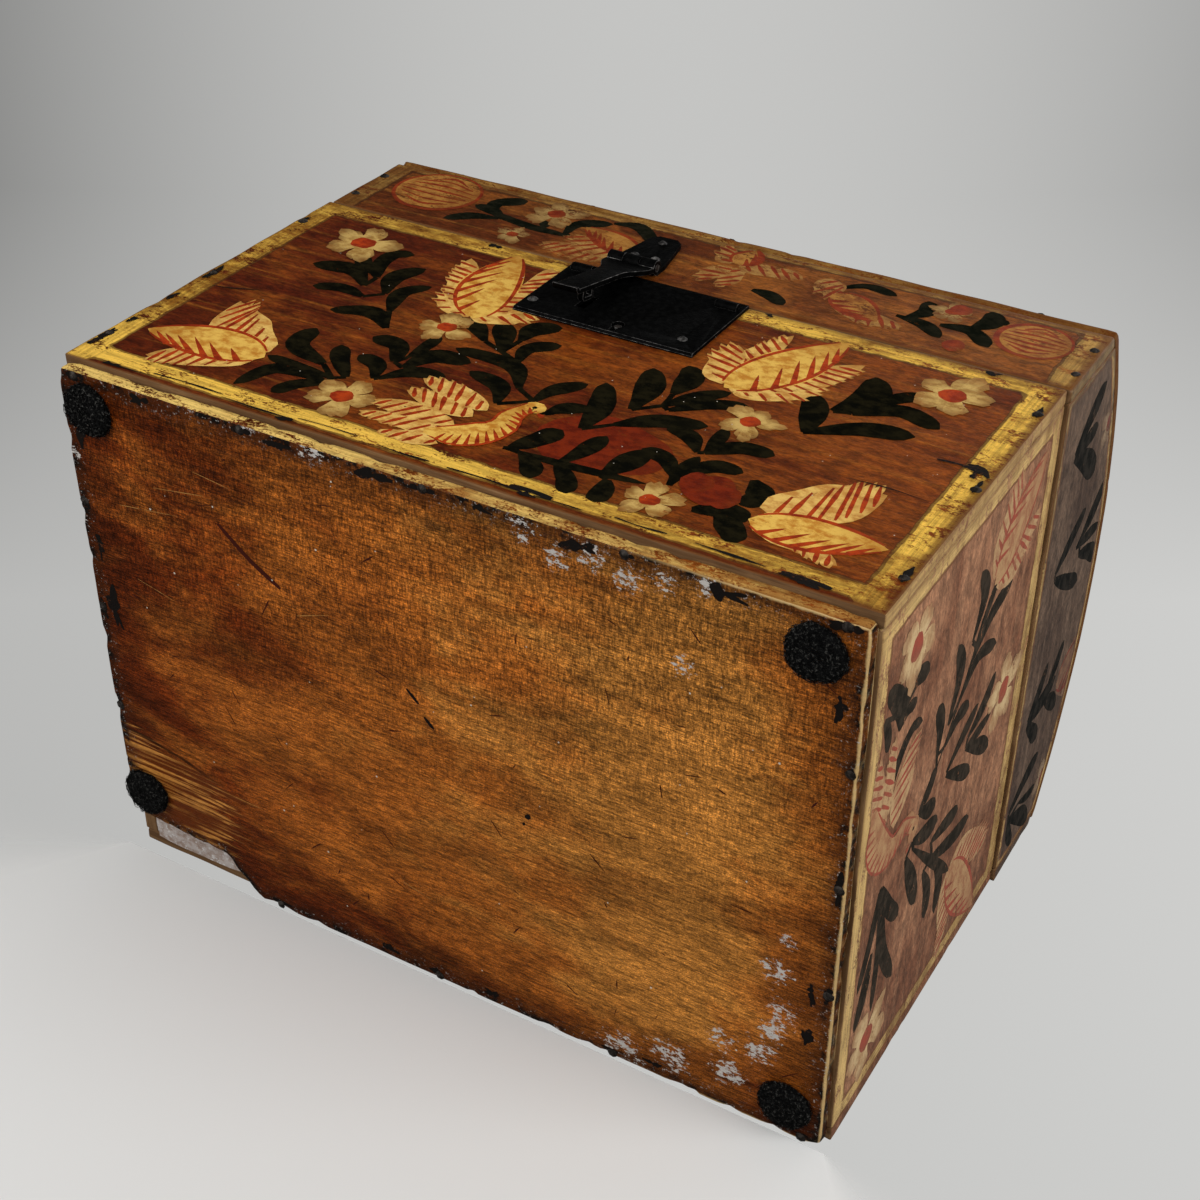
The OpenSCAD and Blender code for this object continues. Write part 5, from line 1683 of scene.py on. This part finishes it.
# %% Four pads
def soft_disc(name, centre, radius, low, high, seed):
    """Rings from the middle of the lower face round the rim to the upper face, a little uneven."""
    ring = np.linspace(0, 2 * np.pi, 40, endpoint=False)
    ragged = 1 + 0.025 * np.sin(3 * ring + seed) + 0.015 * np.sin(7 * ring + 2 * seed)
    profile = [(0.3, 0.0), (0.6, 0.02), (0.85, 0.06), (0.96, 0.16), (1.0, 0.4), (1.0, 0.8), (0.98, 1.0)]
    points, faces = [(centre[0], centre[1], low)], []
    for share, height in profile:
        for angle, out in zip(ring, ragged):
            points.append((centre[0] + radius * share * out * np.cos(angle),
                           centre[1] + radius * share * out * np.sin(angle), low + height * (high - low)))
    count = len(ring)
    for k in range(count):
        n = (k + 1) % count
        faces.append([0, 1 + n, 1 + k])
        for level in range(len(profile) - 1):
            a, b = 1 + level * count, 1 + (level + 1) * count
            faces.append([a + k, a + n, b + n, b + k])
    top = 1 + (len(profile) - 1) * count
    faces.append([top + k for k in range(count)])
    mesh = bpy.data.meshes.new(name)
    mesh.from_pydata((np.array(points) * MM).tolist(), [], faces)
    mesh.polygons.foreach_set("use_smooth", np.ones(len(faces), bool))
    mesh.materials.append(felt)
    return mesh


for seed, corner in enumerate(("front_left", "front_right", "back_left", "back_right")):
    node = "felt_pad_" + corner
    low, high = node_box(node)
    centre, radius = (low + high) / 2, (high - low)[0] / 2
    mesh = grown(node, soft_disc(node, centre, radius * 0.98, low[2], high[2], seed), fuzz, {
        fuzz_inputs["Density"]: 1.5e6, fuzz_inputs["Seed"]: seed, fuzz_inputs["Fibre"]: fibre})
    made = seat(shown(node + "_soft", mesh), "chest", "felt", node)
print("pad faces:", len(mesh.polygons))

# %% Plaster
plaster, tree, coat, spot = new_finish("plaster")
lumps = cloud(tree, spot, (2.2, 2.2, 2.2), 6, 0.65)
hue = mixed(tree, between(tree, lumps, 0.38, 0.60), rgb(0.30, 0.22, 0.18), rgb(0.46, 0.40, 0.37))
hue = mixed(tree, between(tree, cloud(tree, spot, (6, 6, 6), 4), 0.56, 0.68), hue, rgb(0.58, 0.55, 0.53))
fill(tree, coat.inputs["Base Color"], hue)
coat.inputs["Roughness"].default_value = 0.9
relief(tree, coat, lumps, 0.0008)
low, high = node_box("corner_patch")
points, quads, sides, edge = board(low, high, 0.6, 41, pitch=2.0)
ragged = 5 + 5 * roughness_at(points, 0.09, 8)
points[:, 0] -= ragged * np.clip((points[:, 0] - high[0] + 30) / 30, 0, 1)
points[:, 1] += ragged * np.clip((low[1] + 14 - points[:, 1]) / 14, 0, 1)
points[:, 2] += np.where(points[:, 2] < 10, 0.5 * np.clip(roughness_at(points, 0.14, 3), 0, 1), 0)
seat(piece("corner_patch_lumpy", points, quads, [plaster]), "chest", "plaster", "corner_patch")
smear = []
for row in (99.0, 102.0, 105.0, 108.0, 110.6):
    places = (-153, row, -130, row + 0.4, -107 - 0.8 * (112 - row), row)
    smear.append(("plaster", stroke(places, 4.4, "line", 12, 0.2)))
painted("plaster_smear", "chest", smear, {"plaster": plaster}, lambda u, v, w: (u, v, WALL_Z - w),
        slot="plaster")
print("plaster smear:", len(smear), "strokes")

# %% [markdown]
# ## Stains, cracks and scratches
#
# Iron blackens the wood around it. The stains are short overlapping dabs, half worn away in the shader, so
# that their outline is ragged. Cracks, gouges, scratches and specks are thinner strokes of the same brush.

# %% Colours of the damage
def stain_colour(name, dark, loss, base):
    finish, tree, coat, spot = new_finish(name)
    worn = use_group(tree, worn_paint, {"Place": spot, "Loss": loss})
    fill(tree, coat.inputs["Base Color"], mixed(tree, worn["Mask"], base, dark))
    coat.inputs["Roughness"].default_value = 0.6
    relief(tree, coat, cloud(tree, spot, (8, 8, 8), 4), 0.0002)
    return finish


stains = {"stain": stain_colour("rust_stain", rgb(0.008, 0.006, 0.005), 0.40, rgb(0.09, 0.028, 0.010)),
          "gouge": stain_colour("gouge", rgb(0.045, 0.008, 0.004), 0.36, rgb(0.11, 0.03, 0.008)),
          "scratch": stain_colour("scratch", rgb(0.36, 0.17, 0.045), 0.44, rgb(0.14, 0.04, 0.008)),
          "speck": stain_colour("speck", rgb(0.52, 0.46, 0.38), 0.36, rgb(0.34, 0.20, 0.10))}


def blot(u, v, size, limits):
    """A few dabs around a place, kept inside the panel."""
    made = []
    from_rim = np.minimum(np.array([u, v]) - limits[0], limits[1] - np.array([u, v]))
    stretch = np.array([1.3, 0.4]) if from_rim[1] < from_rim[0] else np.array([0.4, 1.3])
    for _ in range(6):
        angle, reach = rng.uniform(0, 6.3), size * rng.uniform(0.3, 0.9)
        way = np.array([[0, 0], [np.cos(angle), np.sin(angle)]])
        ends = np.clip(np.array([u, v]) + reach * stretch * way, limits[0] + 0.4, limits[1] - 0.4)
        made.append(("stain", stroke(ends.ravel(), size * rng.uniform(0.15, 0.45), "line", 7, 0.3)))
    return made


print("colours of the damage:", ", ".join(stains))

# %% Damage under the chest
UNDER_Z = np.round(node_box("bottom_board"), 3)[0][2]
UNDER = np.array([[-157.0, -112.6], [157.0, 112.0]])
UNDER_BLOTS = [
    (-150, -10, 12), (60, -110, 10), (110, -110, 9), (151, -84, 8), (150, 60, 8), (150, 40, 6),
    (-20, -111, 8), (-120, -111, 7), (-152, -40, 7), (-153, -90, 8), (-60, -111, 6), (20, -112, 7),
    (152, 100, 6), (90, 109, 5), (20, 110, 6), (-30, 110, 6),
]
under_strokes = []
for nail in nail_places["bottom_nails"]:
    under_strokes += blot(nail[0], nail[1], rng.uniform(4, 8), UNDER)
for u, v, size in UNDER_BLOTS:
    under_strokes += blot(u, v, size, UNDER)
for places, width in (((37, 11, 38.5, 12.5), 2.8), ((35.5, 15.5, 36.5, 16), 1.6), ((-5, -16, -1, -12), 1.6),
                      ((-12, -26, -7, -21), 1.5)):
    under_strokes.append(("stain", stroke(places, width, "line", 7)))
under_strokes.append(("gouge", stroke((-91, -69, -78, -58, -65, -50), 2.6, "line", 10, 0.2)))
for places in ((-138, -62, -110, -66), (-120, -75, -96, -79), (-100, -88, -84, -86), (-60, -40, -44, -46),
               (-135, -30, -118, -26), (10, -60, 24, -57), (70, 60, 84, 66), (-20, 70, -4, 74)):
    under_strokes.append(("scratch", stroke(places, 0.28, "line", 8, 0.3)))
for _ in range(60):
    start, angle = rng.uniform((-145, -100), (148, 96)), rng.normal(0, 0.9)
    tip = start + rng.uniform(2, 9) * np.array([np.cos(angle), np.sin(angle)])
    under_strokes.append(("gouge", stroke((*start, *tip), rng.uniform(0.3, 0.6), "line", 6, 0.3)))
for _ in range(40):
    under_strokes.append(("speck", dot(*rng.uniform((-140, -105), (150, 100)), rng.uniform(0.4, 0.9))))
painted("bottom_stains", "chest", under_strokes, stains, lambda u, v, w: (u, v, UNDER_Z - w),
        slot="varnished_wood")
print("strokes under the chest:", len(under_strokes))

# %% Damage on the front
FACE = np.array([[-158.0, 1.2], [158.0, 156.8]])
FRONT_BLOTS = [
    (-76, 155, 5), (134, 155, 6), (46, 156, 4), (153, 88, 6), (-157, 82, 6), (-157, 56, 6),
    (-157, 32, 5), (-157, 15, 6), (-61, 2, 5), (33, 3, 5), (134, 3, 6), (-140, 2, 5),
]
DAMAGE_LIFT = 0.3
front_blots = []
for u, v, size in FRONT_BLOTS:
    front_blots += blot(u, v, size, FACE)
for nail in nail_places["corner_nails"]:
    if nail[1] < -100:
        front_blots += blot(nail[0], nail[2] - WALL_Z, rng.uniform(4, 7), FACE)
for places, width in (((139, 90, 148, 90.6, 157, 88), 1.5), ((149, 92, 154, 91, 158, 87), 2.6),
                      ((-150, 70, -142, 72, -132, 76), 0.6), ((118, 64, 132, 65, 147, 64), 0.5)):
    front_blots.append(("stain", stroke(places, width, "line", 10, 0.3)))
for start in range(-152, 123, 30):
    ends = start + rng.uniform(0, 9), start + rng.uniform(22, 34)
    heights = rng.uniform(2.5, 6.5) + rng.uniform(-0.4, 0.4, 3)
    crack = (ends[0], heights[0], sum(ends) / 2, heights[1], ends[1], heights[2])
    front_blots.append(("stain", stroke(crack, rng.uniform(0.5, 1.1), "line", 10, 0.4)))
for places, width in (((27, 4.6, 35, 5.2, 43, 4.4), 3.4), ((124, 4.0, 133, 4.4, 141, 3.6), 3.0)):
    front_blots.append(("stain", stroke(places, width, "line", 12, 0.4)))
for _ in range(70):
    front_blots.append(("speck", dot(*rng.uniform((-150, 6), (150, 150)), rng.uniform(0.25, 0.5))))
painted("front_stains", "chest", front_blots, stains, on_front, DAMAGE_LIFT)
print("strokes of damage on the front:", len(front_blots))
